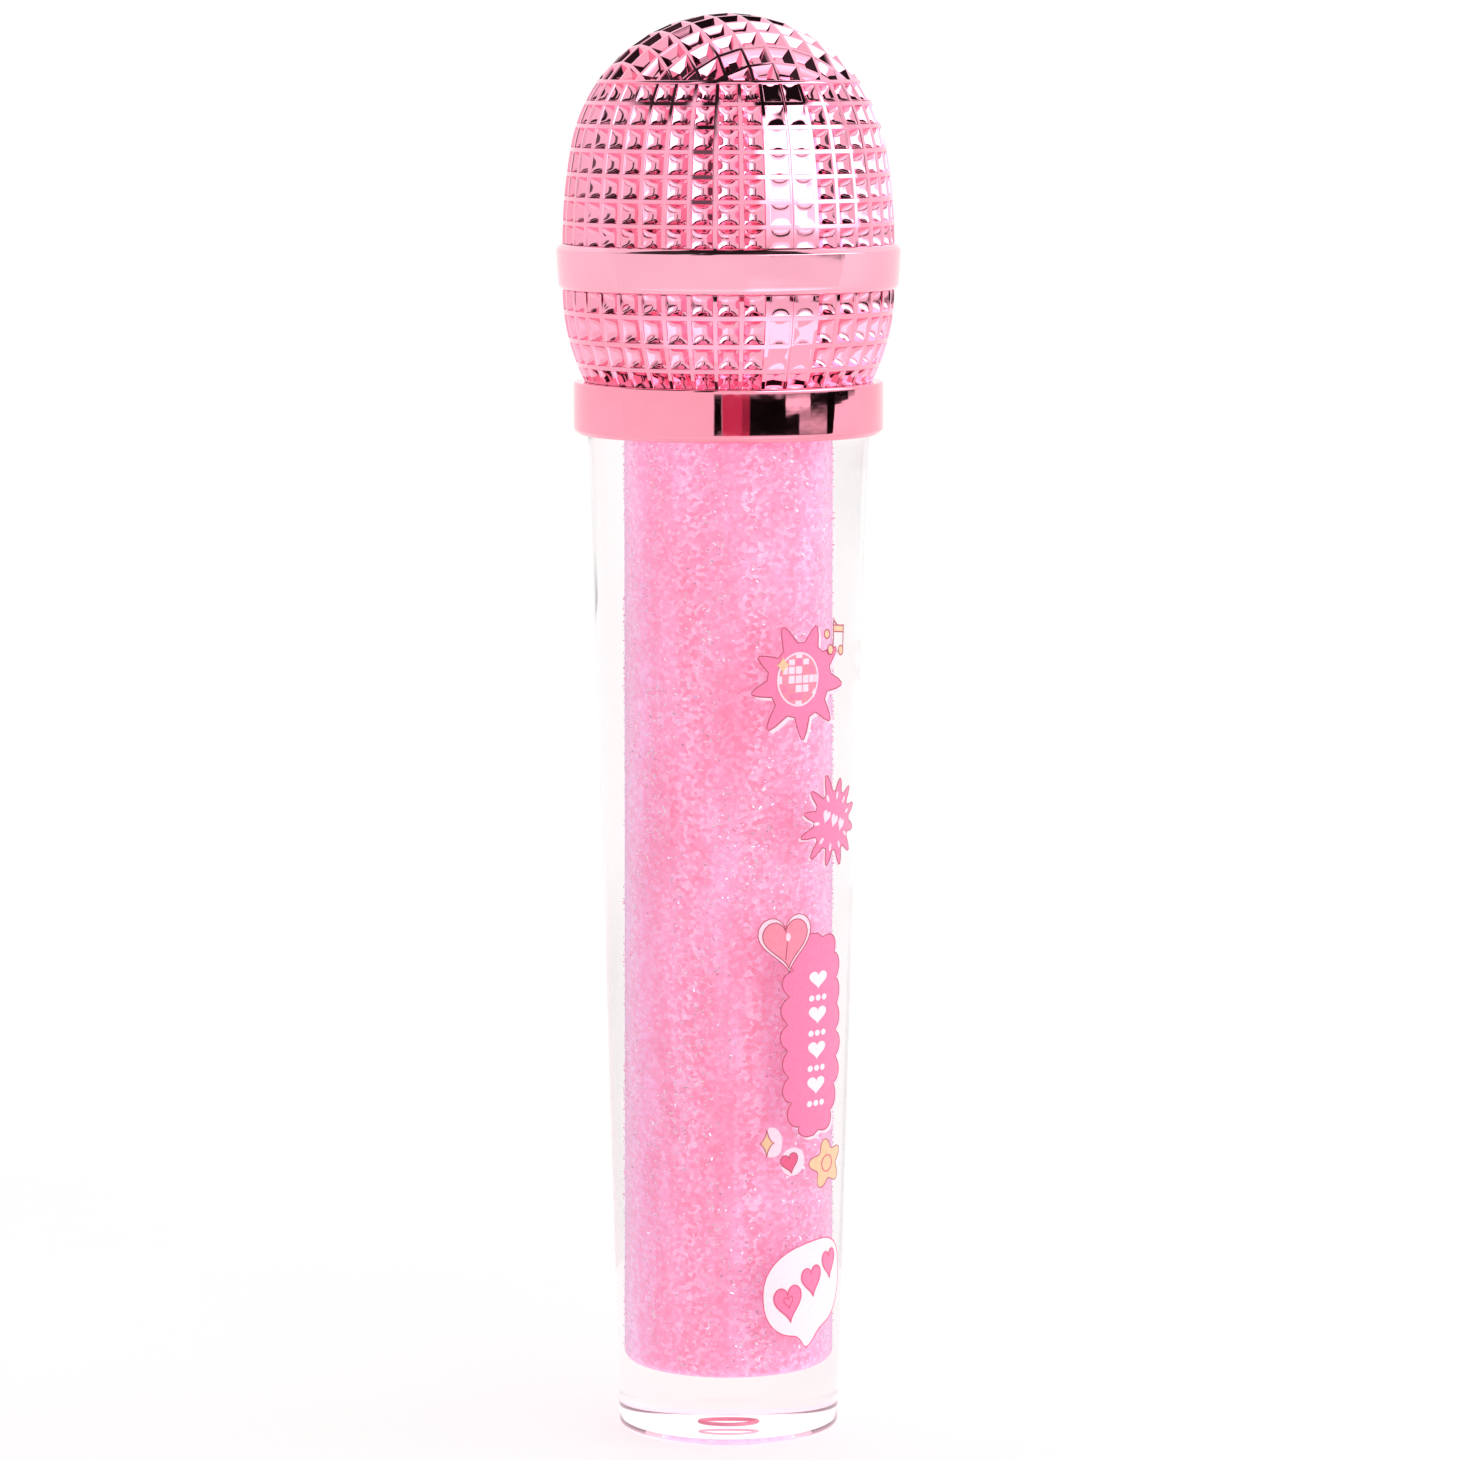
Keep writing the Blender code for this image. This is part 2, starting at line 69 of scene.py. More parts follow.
# Bottle
BASE_R = 9.35 * MM
BASE_CORNER = 1.0 * MM
FOOT_CORNER = 0.45 * MM
TAPER_TOP_Z = 69.0 * MM
TAPER_TOP_R = 11.25 * MM
SHOULDER_R = 11.9 * MM
SHOULDER_Z = 86.0 * MM
CHAMBER_R = 5.8 * MM
CHAMBER_CORNER = 0.8 * MM
CHAMBER_FLOOR_Z = 5.4 * MM
CHAMBER_TOP_Z = 84.4 * MM
NECK_R = 6.9 * MM
NECK_BORE_R = 4.9 * MM
MARK_R, MARK_Z = 1.6 * MM, 0.84 * MM
MARK_HALF_WIDTH, MARK_HALF_HEIGHT = 0.14 * MM, 0.16 * MM

# Thread
THREAD_PITCH = 2.6 * MM
THREAD_TURNS = 1.5
THREAD_START_Z = 88.6 * MM
THREAD_HEIGHT = 0.7 * MM
THREAD_ROOT_HALF = 0.5 * MM
THREAD_CREST_HALF = 0.3 * MM

# Microphone head
COLUMNS = 40
GRID_TURN = radians(4.5)
PARTING_TURN = radians(-67.5)
DOME_R = 13.4 * MM
DOME_CENTRE_Z = HEAD_TOP - DOME_R
DOME_BLEND_Z = 109.0 * MM
HEAD_R = 13.93 * MM
CROWN_Z = 114.35 * MM
CROWN_STEP = radians(9.2)
CROWN_LINES = 5
SIDE_ROWS = 7
HIDDEN_RIB_Z = 100.57 * MM
BELLY_R = 16.95 * MM
SPIGOT_R = 13.4 * MM
LOWER_RIBS_Z = (95.15 * MM, 92.8 * MM, 90.75 * MM, 88.7 * MM)
BAND_BEVEL_HEIGHT = 0.502 * MM
# A quick turn, a slow bend about 43 degrees, and a quick turn again: radius, from and to degrees
BAND_BEVEL = ((0.15 * MM, 4, 37), (2.4 * MM, 37, 50), (0.12 * MM, 50, 90))


# ---- mesh helpers

def add_object(name, data):
    obj = bpy.data.objects.new(name, data)
    bpy.context.scene.collection.objects.link(obj)
    return obj


def new_object(name, verts, faces, mats, face_mats=None, sharp=None):
    mesh = bpy.data.meshes.new(name)
    mesh.from_pydata(verts, [], faces)
    for mat in mats:
        mesh.materials.append(mat)
    if face_mats is not None:
        mesh.polygons.foreach_set("material_index", face_mats)
    mesh.shade_smooth()
    if sharp:
        mesh.set_sharp_from_angle(angle=radians(sharp))
    mesh.update()
    return add_object(name, mesh)


def ring_faces(first, second, count_first, count_second):
    """Faces between two rings that start at the vertex numbers first and second."""
    faces = []
    count = max(count_first, count_second)
    for k in range(count):
        after = (k + 1) % count
        if count_first == 1:
            faces.append((first, second + after, second + k))
        elif count_second == 1:
            faces.append((first + k, first + after, second))
        else:
            faces.append((first + k, first + after, second + after, second + k))
    return faces


def turned(name, profile, mats, segments=SEGMENTS, warp=None, sharp=35, closed=False):
    """A turned piece; warp(r, z, angle) may bend a point and gives back (r, z)."""
    verts, faces, starts = [], [], []
    for r, z in profile:
        count = segments if r > 0 else 1
        starts.append((len(verts), count))
        for k in range(count):
            a = tau * k / segments
            wr, wz = warp(r, z, a) if warp and r > 0 else (r, z)
            verts.append((wr * cos(a), wr * sin(a), wz))
    pairs = list(zip(starts, starts[1:]))
    if closed:
        pairs.append((starts[-1], starts[0]))
    for (first, n_first), (second, n_second) in pairs:
        faces += ring_faces(first, second, n_first, n_second)
    return new_object(name, verts, faces, mats, sharp=sharp)


def angles(count):
    return [tau * k / count for k in range(count)]


def arc(centre_r, centre_z, radius, start_deg, end_deg, steps=8):
    points = []
    for k in range(steps + 1):
        a = radians(start_deg + (end_deg - start_deg) * k / steps)
        points.append((centre_r + radius * cos(a), centre_z + radius * sin(a)))
    return points


def around(r, z, offsets):
    """Profile points given in millimetres from one place."""
    return [(r + dr * MM, z + dz * MM) for dr, dz in offsets]


def rounded(points, radius):
    """Replace each inner corner of a profile by a small curve."""
    steps = 4
    out = [points[0]]
    for before, here, after in zip(points, points[1:], points[2:]):
        p, a, b = Vector(here), Vector(before), Vector(after)
        cut_a = min(radius, (a - p).length * 0.45)
        cut_b = min(radius, (b - p).length * 0.45)
        start, end = p + (a - p).normalized() * cut_a, p + (b - p).normalized() * cut_b
        for k in range(steps + 1):
            t = k / steps
            point = start * (1 - t) ** 2 + p * (2 * t * (1 - t)) + end * t * t
            out.append((point.x, point.y))
    return out + [points[-1]]


def smoothstep(low, high, x):
    t = min(1.0, max(0.0, (x - low) / (high - low)))
    return t * t * (3 - 2 * t)


# ---- materials

def connect(tree, value, socket):
    """Link a socket to this one, or set a plain value on it."""
    if isinstance(value, bpy.types.NodeSocket):
        tree.links.new(value, socket)
    else:
        socket.default_value = value


def node(tree, kind, **values):
    """A new node; each value goes to the input, or else the setting, of that name."""
    made = tree.nodes.new(kind)
    for key, value in values.items():
        if key in made.inputs:
            connect(tree, value, made.inputs[key])
        else:
            setattr(made, key, value)
    return made


def base_material(name, **sockets):
    mat = bpy.data.materials.new(name)
    mat.use_nodes = True
    shader = mat.node_tree.nodes["Principled BSDF"]
    for key, value in sockets.items():
        shader.inputs[key.replace("_", " ")].default_value = value
    return mat, mat.node_tree, shader


def coords(tree):
    return node(tree, "ShaderNodeTexCoord").outputs["Object"]


def noise_value(tree, scale, detail):
    made = node(tree, "ShaderNodeTexNoise", Vector=coords(tree), Scale=scale, Detail=detail,
                Roughness=0.55)
    return made.outputs["Fac"]


def ramp(tree, factor, stops):
    made = node(tree, "ShaderNodeValToRGB", Fac=factor)
    while len(made.color_ramp.elements) < len(stops):
        made.color_ramp.elements.new(0.5)
    for element, (position, colour) in zip(made.color_ramp.elements, stops):
        element.position = position
        element.color = colour if len(colour) == 4 else (*colour, 1.0)
    return made.outputs["Color"]


def map_range(tree, value, from_low, from_high, to_low, to_high):
    limits = {"From Min": from_low, "From Max": from_high, "To Min": to_low, "To Max": to_high}
    return node(tree, "ShaderNodeMapRange", Value=value, **limits).outputs["Result"]


def math_node(tree, operation, *values):
    made = node(tree, "ShaderNodeMath", operation=operation)
    for value, socket in zip(values, made.inputs):
        connect(tree, value, socket)
    return made.outputs[0]


def mixed(tree, a, b, factor, blend="MIX"):
    """Two colour sockets blended by a number or by another socket."""
    made = node(tree, "ShaderNodeMix", data_type="RGBA", blend_type=blend, Factor=factor, A=a, B=b)
    return made.outputs["Result"]


def two_tone(tree, shader, scale, detail, dark, light):
    """A base colour that drifts between two tones."""
    colour = ramp(tree, noise_value(tree, scale, detail), [(0.3, dark), (0.7, light)])
    tree.links.new(colour, shader.inputs["Base Color"])


def roughen(tree, shader, scale, detail, low, high):
    rough = map_range(tree, noise_value(tree, scale, detail), 0.3, 0.7, low, high)
    tree.links.new(rough, shader.inputs["Roughness"])


def bump(tree, shader, height, distance, strength):
    made = node(tree, "ShaderNodeBump", Strength=strength, Distance=distance, Height=height)
    tree.links.new(made.outputs["Normal"], shader.inputs["Normal"])


def metallised(name, dark, light, roughness):
    """Vacuum-metallised plastic under pink lacquer: mirror-like, slightly uneven."""
    mat, tree, shader = base_material(name, Metallic=1.0, Coat_Weight=0.12, Coat_Roughness=0.04)
    two_tone(tree, shader, 160.0, 2.0, dark, light)
    roughen(tree, shader, 900.0, 4.0, roughness * 0.7, roughness * 1.4)
    bump(tree, shader, noise_value(tree, 420.0, 2.0), 0.02 * MM, 0.35)
    return mat


def clear_plastic(name, tint, roughness, ior, **sockets):
    mat, tree, shader = base_material(name, Transmission_Weight=1.0, IOR=ior, **sockets)
    pale = tuple(min(1.0, c + 0.02) for c in tint)
    colour = ramp(tree, noise_value(tree, 60.0, 2.0), [(0.2, tint), (0.8, pale)])
    tree.links.new(colour, shader.inputs["Base Color"])
    roughen(tree, shader, 500.0, 3.0, roughness * 0.5, roughness * 1.5)
    return mat, tree, shader, colour


BLACK, WHITE = (0.0, 0.0, 0.0), (1.0, 1.0, 1.0)
# Painted light on the clear bottle: a pink tint and glow at the foot's edge, and a glow at the shoulder
FOOT_PAINTED_PINK = (0.97, 0.50, 0.62)
FOOT_PAINTED_GLOW = (0.38, 0.25, 0.29)
FOOT_PAINTED_GLOW_HEIGHTS = (0.36 * MM, 0.6 * MM)  # full below the first, gone above the second
SHOULDER_PAINTED_GLOW = (0.60, 0.40, 0.46)


def bottle_material():
    """Clear plastic, with painted light: a painted pink tint and glow at the foot's edge and a painted
    glow at the flat shoulder stand in for the gloss's pink light seen there.
    """
    mat, tree, shader, colour = clear_plastic("clear_plastic", (0.95, 0.91, 0.915), 0.012, 1.5,
                                              Emission_Strength=1.0)
    height = node(tree, "ShaderNodeSeparateXYZ", Vector=coords(tree)).outputs["Z"]
    # Painted pink light: the tint and glow fade out above the foot's edge, and a painted glow band sits
    # at the shoulder
    above_painted_foot = map_range(tree, height, *FOOT_PAINTED_GLOW_HEIGHTS, 0.0, 1.0)
    tint = ramp(tree, above_painted_foot, [(0.0, FOOT_PAINTED_PINK), (1.0, WHITE)])
    tree.links.new(mixed(tree, colour, tint, 1.0, "MULTIPLY"), shader.inputs["Base Color"])
    painted_foot_glow = ramp(tree, above_painted_foot, [(0.0, FOOT_PAINTED_GLOW), (1.0, BLACK)])
    painted_shoulder_mask = map_range(tree, height, SHOULDER_Z - MM, SHOULDER_Z + MM, 0.0, 1.0)
    painted_shoulder_glow = ramp(tree, painted_shoulder_mask, [(0.2, BLACK), (0.4, SHOULDER_PAINTED_GLOW),
                                             (0.55, SHOULDER_PAINTED_GLOW), (0.7, BLACK)])
    painted_glow = mixed(tree, painted_foot_glow, painted_shoulder_glow, 1.0, "ADD")
    tree.links.new(painted_glow, shader.inputs["Emission Color"])
    return mat


# The glitter hangs in tall drifts; the two densest, in front on either side of a sparser middle, are
# painted highlight columns. Share of the way round the tube, and how dense it is there
DRIFTS_AND_PAINTED_HIGHLIGHTS = ((0.02, 0.5), (0.10, 0.2), (0.17, 0.35), (0.208, 0.8), (0.25, 0.3), (0.285, 0.1),
          (0.31, 0.35), (0.333, 0.95), (0.37, 0.3), (0.45, 0.6), (0.6, 0.2), (0.78, 0.7), (0.9, 0.2))


def gloss_material():
    mat, tree, shader = base_material(
        "glitter_gloss", Roughness=0.38, Sheen_Weight=1.0, Sheen_Roughness=0.6,
        Sheen_Tint=(0.85, 0.62, 1.0, 1.0), Emission_Strength=0.45)
    stretch = node(tree, "ShaderNodeMapping", Scale=(1.0, 1.0, 0.2), Vector=coords(tree))
    streaks = node(tree, "ShaderNodeTexNoise", Scale=430.0, Detail=4.0, Roughness=0.65,
                   Vector=stretch.outputs["Vector"])
    grain = node(tree, "ShaderNodeTexVoronoi", Scale=3000.0, Randomness=1.0, Vector=coords(tree))
    swirl = ramp(tree, streaks.outputs["Fac"],
                 [(0.36, (0.90, 0.19, 0.35)), (0.5, (0.94, 0.30, 0.50)), (0.62, (0.98, 0.46, 0.74))])
    fleck = ramp(tree, grain.outputs["Color"],
                 [(0.2, (0.90, 0.18, 0.34)), (0.55, (0.96, 0.42, 0.62)), (0.85, (1.0, 0.80, 0.97))])
    round_tube = node(tree, "ShaderNodeTexGradient", gradient_type="RADIAL", Vector=coords(tree))
    sway = math_node(tree, "MULTIPLY_ADD", noise_value(tree, 150.0, 3.0), 0.07,
                     round_tube.outputs["Fac"])
    # Lighter flecks by drift: random drifts round the back, painted highlight columns in front
    drift_and_highlight = ramp(tree, sway, [(place, (dense,) * 3) for place, dense in DRIFTS_AND_PAINTED_HIGHLIGHTS])
    density_and_highlight = map_range(tree, drift_and_highlight, 0.0, 1.0, 0.12, 0.85)
    tree.links.new(mixed(tree, swirl, fleck, density_and_highlight), shader.inputs["Base Color"])
    bump(tree, shader, grain.outputs["Distance"], 0.06 * MM, 0.7)
    # Painted glow: an emission stands in for light passing through the pearly gel, pink, and lilac near
    # its edges as a painted sheen.
    rim = node(tree, "ShaderNodeLayerWeight", Blend=0.5)
    painted_pearl_glow = ramp(tree, rim.outputs["Facing"],
                 [(0.2, (0.97, 0.36, 0.60)), (0.42, (1.0, 0.56, 0.88)), (0.7, (1.12, 0.98, 1.16))])
    painted_glow_colour = mixed(tree, painted_pearl_glow, fleck, 0.4, "MULTIPLY")
    tree.links.new(painted_glow_colour, shader.inputs["Emission Color"])
    return mat


def glitter_material(name, colour):
    mat, tree, shader = base_material(name, Metallic=0.6, Roughness=0.22)
    two_tone(tree, shader, 2500.0, 1.0, colour, (1.0, 0.95, 1.0))
    return mat


def ink(name, dark, light):
    """Printed ink: a fine halftone-like mottling over a flat tint."""
    mat, tree, shader = base_material(name, Roughness=0.35, Coat_Weight=0.2)
    two_tone(tree, shader, 3200.0, 2.0, dark, light)
    bump(tree, shader, noise_value(tree, 5000.0, 1.0), 0.004 * MM, 0.3)
    return mat


def moulded(name, dark, light, roughness, grain=1800.0, **sockets):
    """Plain moulded plastic, foam or flock; grain sets how fine its surface is."""
    mat, tree, shader = base_material(name, **sockets)
    two_tone(tree, shader, 240.0, 3.0, dark, light)
    roughen(tree, shader, grain, 3.0, roughness * 0.8, roughness * 1.2)
    bump(tree, shader, noise_value(tree, grain, 3.0), 0.02 * MM, 0.25)
    return mat


CLEAR = bottle_material()
GLOSS = gloss_material()
GLITTER = [glitter_material("glitter_white", (1.0, 0.86, 0.95)),
           glitter_material("glitter_lilac", (0.86, 0.62, 1.0)),
           glitter_material("glitter_rose", (1.0, 0.45, 0.66))]
GRILLE = metallised("grille_metallised", (0.97, 0.37, 0.50), (1.0, 0.42, 0.58), 0.04)
BAND = metallised("band_metallised", (0.98, 0.43, 0.55), (1.0, 0.47, 0.59), 0.035)
COLLAR = metallised("collar_metallised", (0.98, 0.33, 0.44), (1.0, 0.37, 0.49), 0.03)
WIPER = moulded("wiper_plastic", (0.83, 0.83, 0.83), (0.9, 0.9, 0.9), 0.45,
                Subsurface_Weight=0.2, Subsurface_Scale=0.001)
WASHER = moulded("washer_foam", (0.82, 0.82, 0.8), (0.9, 0.9, 0.88), 0.75, 4500.0)
# Painted light: this pink stands in for the gloss's light gathered in the clear gate mark's groove
PAINTED_PINK_MARK = moulded("gate_mark_painted_light", (0.86, 0.28, 0.40), (0.92, 0.36, 0.48), 0.5)
STEM = clear_plastic("stem_plastic", (0.93, 0.86, 0.89), 0.12, 1.46)[0]
PLUG = moulded("plug_plastic", (0.84, 0.83, 0.83), (0.9, 0.9, 0.9), 0.35,
               Subsurface_Weight=0.15, Subsurface_Scale=0.001)
FLOCK = moulded("flocked_tip", (0.78, 0.45, 0.52), (0.93, 0.66, 0.71), 0.95, 9000.0,
                Sheen_Weight=1.0, Sheen_Roughness=0.5)
PINK_INK = ink("ink_pink", (0.86, 0.17, 0.35), (0.90, 0.20, 0.39))
DEEP_INK = ink("ink_deep_pink", (0.72, 0.08, 0.20), (0.78, 0.10, 0.24))
LINE_INK = ink("ink_line", (0.42, 0.05, 0.11), (0.48, 0.07, 0.14))
PALE_INK = ink("ink_pale_pink", (0.92, 0.60, 0.72), (0.95, 0.66, 0.77))
ROSE_INK = ink("ink_rose", (0.84, 0.21, 0.31), (0.88, 0.25, 0.36))
YELLOW_INK = ink("ink_yellow", (0.80, 0.47, 0.27), (0.85, 0.55, 0.34))
WHITE_INK = ink("ink_white", (0.90, 0.72, 0.80), (0.93, 0.78, 0.85))


# ---- bottle and gloss

def bottle_outer_r(z):
    slope = (TAPER_TOP_R - BASE_R) / (TAPER_TOP_Z - BASE_CORNER)
    straight = BASE_R + slope * (z - BASE_CORNER)
    if z <= TAPER_TOP_Z:
        return straight
    t = (z - TAPER_TOP_Z) / (SHOULDER_Z - TAPER_TOP_Z)
    return straight + (SHOULDER_R - BASE_R - slope * (SHOULDER_Z - BASE_CORNER)) * t * t


def thread_height(z, angle, start_z):
    """How far the screw ridge stands out of its wall at this height and angle."""
    best = 0.0
    for turn in range(3):
        along = angle / tau + turn - 0.5
        if 0 <= along <= THREAD_TURNS:
            off = abs(z - start_z - THREAD_PITCH * along)
            shape = 1 - smoothstep(THREAD_CREST_HALF, THREAD_ROOT_HALF, off)
            ends = smoothstep(0, 0.12, min(along, THREAD_TURNS - along))
            best = max(best, shape * ends)
    return THREAD_HEIGHT * best


def make_bottle():
    profile = around(0.0, 0.0, ((0.0, 0.35), (6.9, 0.35), (7.1, 0.32), (7.38, 0.03), (7.5, 0.0)))
    profile += arc(BASE_R - FOOT_CORNER, FOOT_CORNER, FOOT_CORNER, -90, 0, 8)
    z = 3.0 * MM
    while z < SHOULDER_Z - 0.8 * MM:
        profile.append((bottle_outer_r(z), z))
        z += 1.5 * MM
    profile += arc(SHOULDER_R - 0.45 * MM, SHOULDER_Z - 0.4 * MM, 0.4 * MM, 0, 90, 6)
    profile += [(NECK_R + 0.25 * MM, SHOULDER_Z), (NECK_R, SHOULDER_Z + 0.25 * MM)]
    z = SHOULDER_Z + 1.6 * MM
    while z < BOTTLE_TOP - 3.2 * MM:
        profile.append((NECK_R, z))
        z += 0.12 * MM
    profile += arc(NECK_R - 0.3 * MM, BOTTLE_TOP - 0.3 * MM, 0.3 * MM, 0, 90, 5)
    profile += arc(NECK_BORE_R + 0.15 * MM, BOTTLE_TOP - 0.15 * MM, 0.15 * MM, 90, 180, 4)
    profile += [(NECK_BORE_R, CHAMBER_TOP_Z + 2.6 * MM), (CHAMBER_R, CHAMBER_TOP_Z)]
    profile += arc(CHAMBER_R - CHAMBER_CORNER, CHAMBER_FLOOR_Z + CHAMBER_CORNER, CHAMBER_CORNER,
                   0, -90, 10)
    profile += [(0.0, CHAMBER_FLOOR_Z)]

    def screw(r, z, angle):
        if abs(r - NECK_R) < 1e-6 and z > SHOULDER_Z:
            r += thread_height(z, angle, THREAD_START_Z)
        return r, z

    bottle = turned("clear_bottle", profile, [CLEAR], warp=screw, sharp=50)
    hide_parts("bottle")
    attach(bottle, "bottle_body")


def make_base_mark():
    """The gate mark under the base: a small ring inside the clear foot, coloured pink as painted light
    that stands in for the gloss's light gathered in its groove.
    """
    section = [(MARK_R + MARK_HALF_WIDTH * cos(t), MARK_Z + MARK_HALF_HEIGHT * sin(t))
               for t in angles(12)]
    mark = turned("base_mark_painted_light_ring", section, [PAINTED_PINK_MARK], segments=64, sharp=60, closed=True)
    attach(mark, "bottle_body")


def make_gloss():
    # The gloss wets the wall, so its skin lies a hair outside the chamber's.
    wet = 0.03 * MM
    r = CHAMBER_R + wet
    wand_room_r, wand_room_z = 2.5 * MM, 9.5 * MM
    profile = [(0.0, CHAMBER_FLOOR_Z - wet)]
    profile += arc(CHAMBER_R - CHAMBER_CORNER, CHAMBER_FLOOR_Z + CHAMBER_CORNER,
                   CHAMBER_CORNER + wet, -90, 0, 10)
    profile += [(r, z * MM) for z in range(8, 84, 4)]
    profile += [(r, CHAMBER_TOP_Z), (r - 0.74 * MM, GLOSS_TOP), (wand_room_r, GLOSS_TOP)]
    profile += [(wand_room_r, wand_room_z), (0.0, wand_room_z)]
    gloss = turned("gloss_core", profile, [GLOSS], segments=128, sharp=50)
    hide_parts("gloss_fill")
    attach(gloss, "bottle_body")


FLAKE_TRIES = 20000
FLAKE_SIZE = (0.035, 0.07)  # half width, in millimetres
FLAKE_STRETCH = (1.2, 3.2)
FLAKE_TILT = 0.35
FLAKE_KINDS = (0, 0, 1, 1, 2)  # places in GLITTER


def make_glitter():
    """Six-sided flakes just outside the gloss's skin, in clumps."""
    rng = random.Random(7)
    verts, faces, kinds = [], [], []
    for _ in range(FLAKE_TRIES):
        a = rng.uniform(0, tau)
        z = rng.uniform(CHAMBER_FLOOR_Z + 0.9 * MM, CHAMBER_TOP_Z - 0.1 * MM)
        clump = noise.noise(Vector((cos(a) * 3, sin(a) * 3, z * 90)))
        if rng.random() > 0.42 + 1.5 * clump:
            continue
        centre = Vector((cos(a), sin(a), 0)) * (CHAMBER_R + rng.uniform(0.05, 0.1) * MM)
        centre.z = z
        size = rng.uniform(*FLAKE_SIZE) * MM
        length = rng.uniform(*FLAKE_STRETCH)
        tilt = Matrix.Rotation(rng.gauss(0, FLAKE_TILT), 3, "Z")
        tilt = tilt @ Matrix.Rotation(rng.gauss(0, FLAKE_TILT), 3, "X")
        facing = Matrix.Rotation(a + pi / 2, 3, "Z") @ tilt
        facing = facing @ Matrix.Rotation(rng.uniform(0, tau), 3, "Y")
        start = len(verts)
        for b in angles(6):
            verts.append(centre + facing @ Vector((cos(b) * size * length, 0, sin(b) * size)))
        faces.append(tuple(range(start, start + 6)))
        kinds.append(rng.choice(FLAKE_KINDS))
    flakes = new_object("gloss_glitter", verts, faces, GLITTER, kinds)
    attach(flakes, "bottle_body")


# ---- microphone head

def dome_r(z):
    if z >= DOME_BLEND_Z:
        return sqrt(max(0.0, DOME_R**2 - (z - DOME_CENTRE_Z) ** 2))
    blend_r = sqrt(DOME_R**2 - (DOME_BLEND_Z - DOME_CENTRE_Z) ** 2)
    t = (DOME_BLEND_Z - z) / (DOME_BLEND_Z - BAND_HIGH)
    return blend_r + (HEAD_R - blend_r) * (1.0 - (1.0 - t) ** 2)


def belly_r(z):
    return HEAD_R - BELLY_R + sqrt(BELLY_R**2 - (z - BAND_LOW) ** 2)


def even_heights(top_z, bottom_z, rows):
    samples = 400
    zs = [top_z + (bottom_z - top_z) * k / samples for k in range(samples + 1)]
    lengths = [0.0]
    for z1, z2 in zip(zs, zs[1:]):
        lengths.append(lengths[-1] + hypot(z2 - z1, dome_r(z2) - dome_r(z1)))
    heights = [top_z]
    for row in range(1, rows):
        target = lengths[-1] * row / rows
        heights.append(zs[next(k for k, length in enumerate(lengths) if length >= target)])
    return heights + [bottom_z]


CROWN_RIB = 0.15 * MM  # half width of the square grid's flat ribs
CROWN_EDGE = 0.04 * MM
CROWN_SLOPE = 0.54 * MM
CROWN_DEPTH = 0.5 * MM
CROWN_MIN_AREA = 0.9 * MM * MM
CROWN_DEEP_AREA = 1.0 * MM * MM
RIB_FLAT = 0.08  # half width of a rib's flat top, as a share of its cell
RIB_EDGE = 0.112  # where the rib's rounded edge ends and the pocket begins
# Sample places across one cell, close together where the rib turns into the pocket
HALF_CELL = (0.0, 0.06, RIB_FLAT, 0.088, 0.096, 0.104, RIB_EDGE, 0.13, 0.16, 0.21, 0.28, 0.36,
             0.43, 0.5)
CELL_STEPS = HALF_CELL + tuple(1 - t for t in reversed(HALF_CELL[1:-1]))
EDGE_DROP = 0.13 * MM
POCKET_DEPTH = 0.54 * MM
POCKET_POWER_ACROSS = 1.8
POCKET_POWER_UP = 3.6
PARTING_REACH = 0.75  # cells nearer to a parting line than this are shallow
PARTING_DEPTH = 0.15


def edge_share(t):
    t = min(t, 1 - t)
    return smoothstep(RIB_FLAT, RIB_EDGE, t)


def pocket_share(t, power):
    s = (t - RIB_EDGE) / (1 - 2 * RIB_EDGE)
    return 1 - abs(2 * s - 1) ** power if 0 < s < 1 else 0.0


def side_grid(radius_at, edges, low_z):
    """Vertices and faces of a turned wall, cut off at low_z, with a pocket in each grid cell."""
    across = []
    for column in range(COLUMNS):
        here = GRID_TURN + tau * column / COLUMNS
        off = (here + pi / COLUMNS - PARTING_TURN) % pi
        beside_parting = min(off, pi - off) < tau / COLUMNS * PARTING_REACH
        depth = PARTING_DEPTH if beside_parting else 1.0
        for t in CELL_STEPS:
            across.append((here + t * tau / COLUMNS, edge_share(t),
                           pocket_share(t, POCKET_POWER_ACROSS), depth))
    rows = []
    for top, bottom in zip(edges, edges[1:]):
        rows += [(top + (bottom - top) * t, edge_share(t), pocket_share(t, POCKET_POWER_UP))
                 for t in CELL_STEPS]
    rows = [row for row in rows if row[0] > low_z + 1e-6] + [(low_z, 0.0, 0.0)]
    verts = []
    small = 0.02 * MM
    for z, edge_v, pocket_v in rows:
        slope = (radius_at(z - small) - radius_at(z + small)) / (2 * small)
        length = hypot(1.0, slope)
        for angle, edge_u, pocket_u, depth in across:
            drop = depth * (EDGE_DROP * edge_u * edge_v + POCKET_DEPTH * pocket_u * pocket_v)
            r = radius_at(z) - drop / length
            verts.append((r * cos(angle), r * sin(angle), z - drop * slope / length))
    count = len(across)
    faces = []
    for row in range(len(rows) - 1):
        faces += [f[::-1] for f in ring_faces(row * count, (row + 1) * count, count, count)]
    return verts, faces, count, len(rows)


def add_rings(verts, faces, start, count, points):
    """Carry a wall's last ring on through (radius, height) points."""
    angles = [atan2(v[1], v[0]) for v in verts[start:start + count]]
    for r, z in points:
        first = len(verts)
        if r > 0:
            verts += [(r * cos(a), r * sin(a), z) for a in angles]
        else:
            verts.append((0.0, 0.0, z))
        faces += [f[::-1] for f in ring_faces(start, first, count, count if r > 0 else 1)]
        start = first


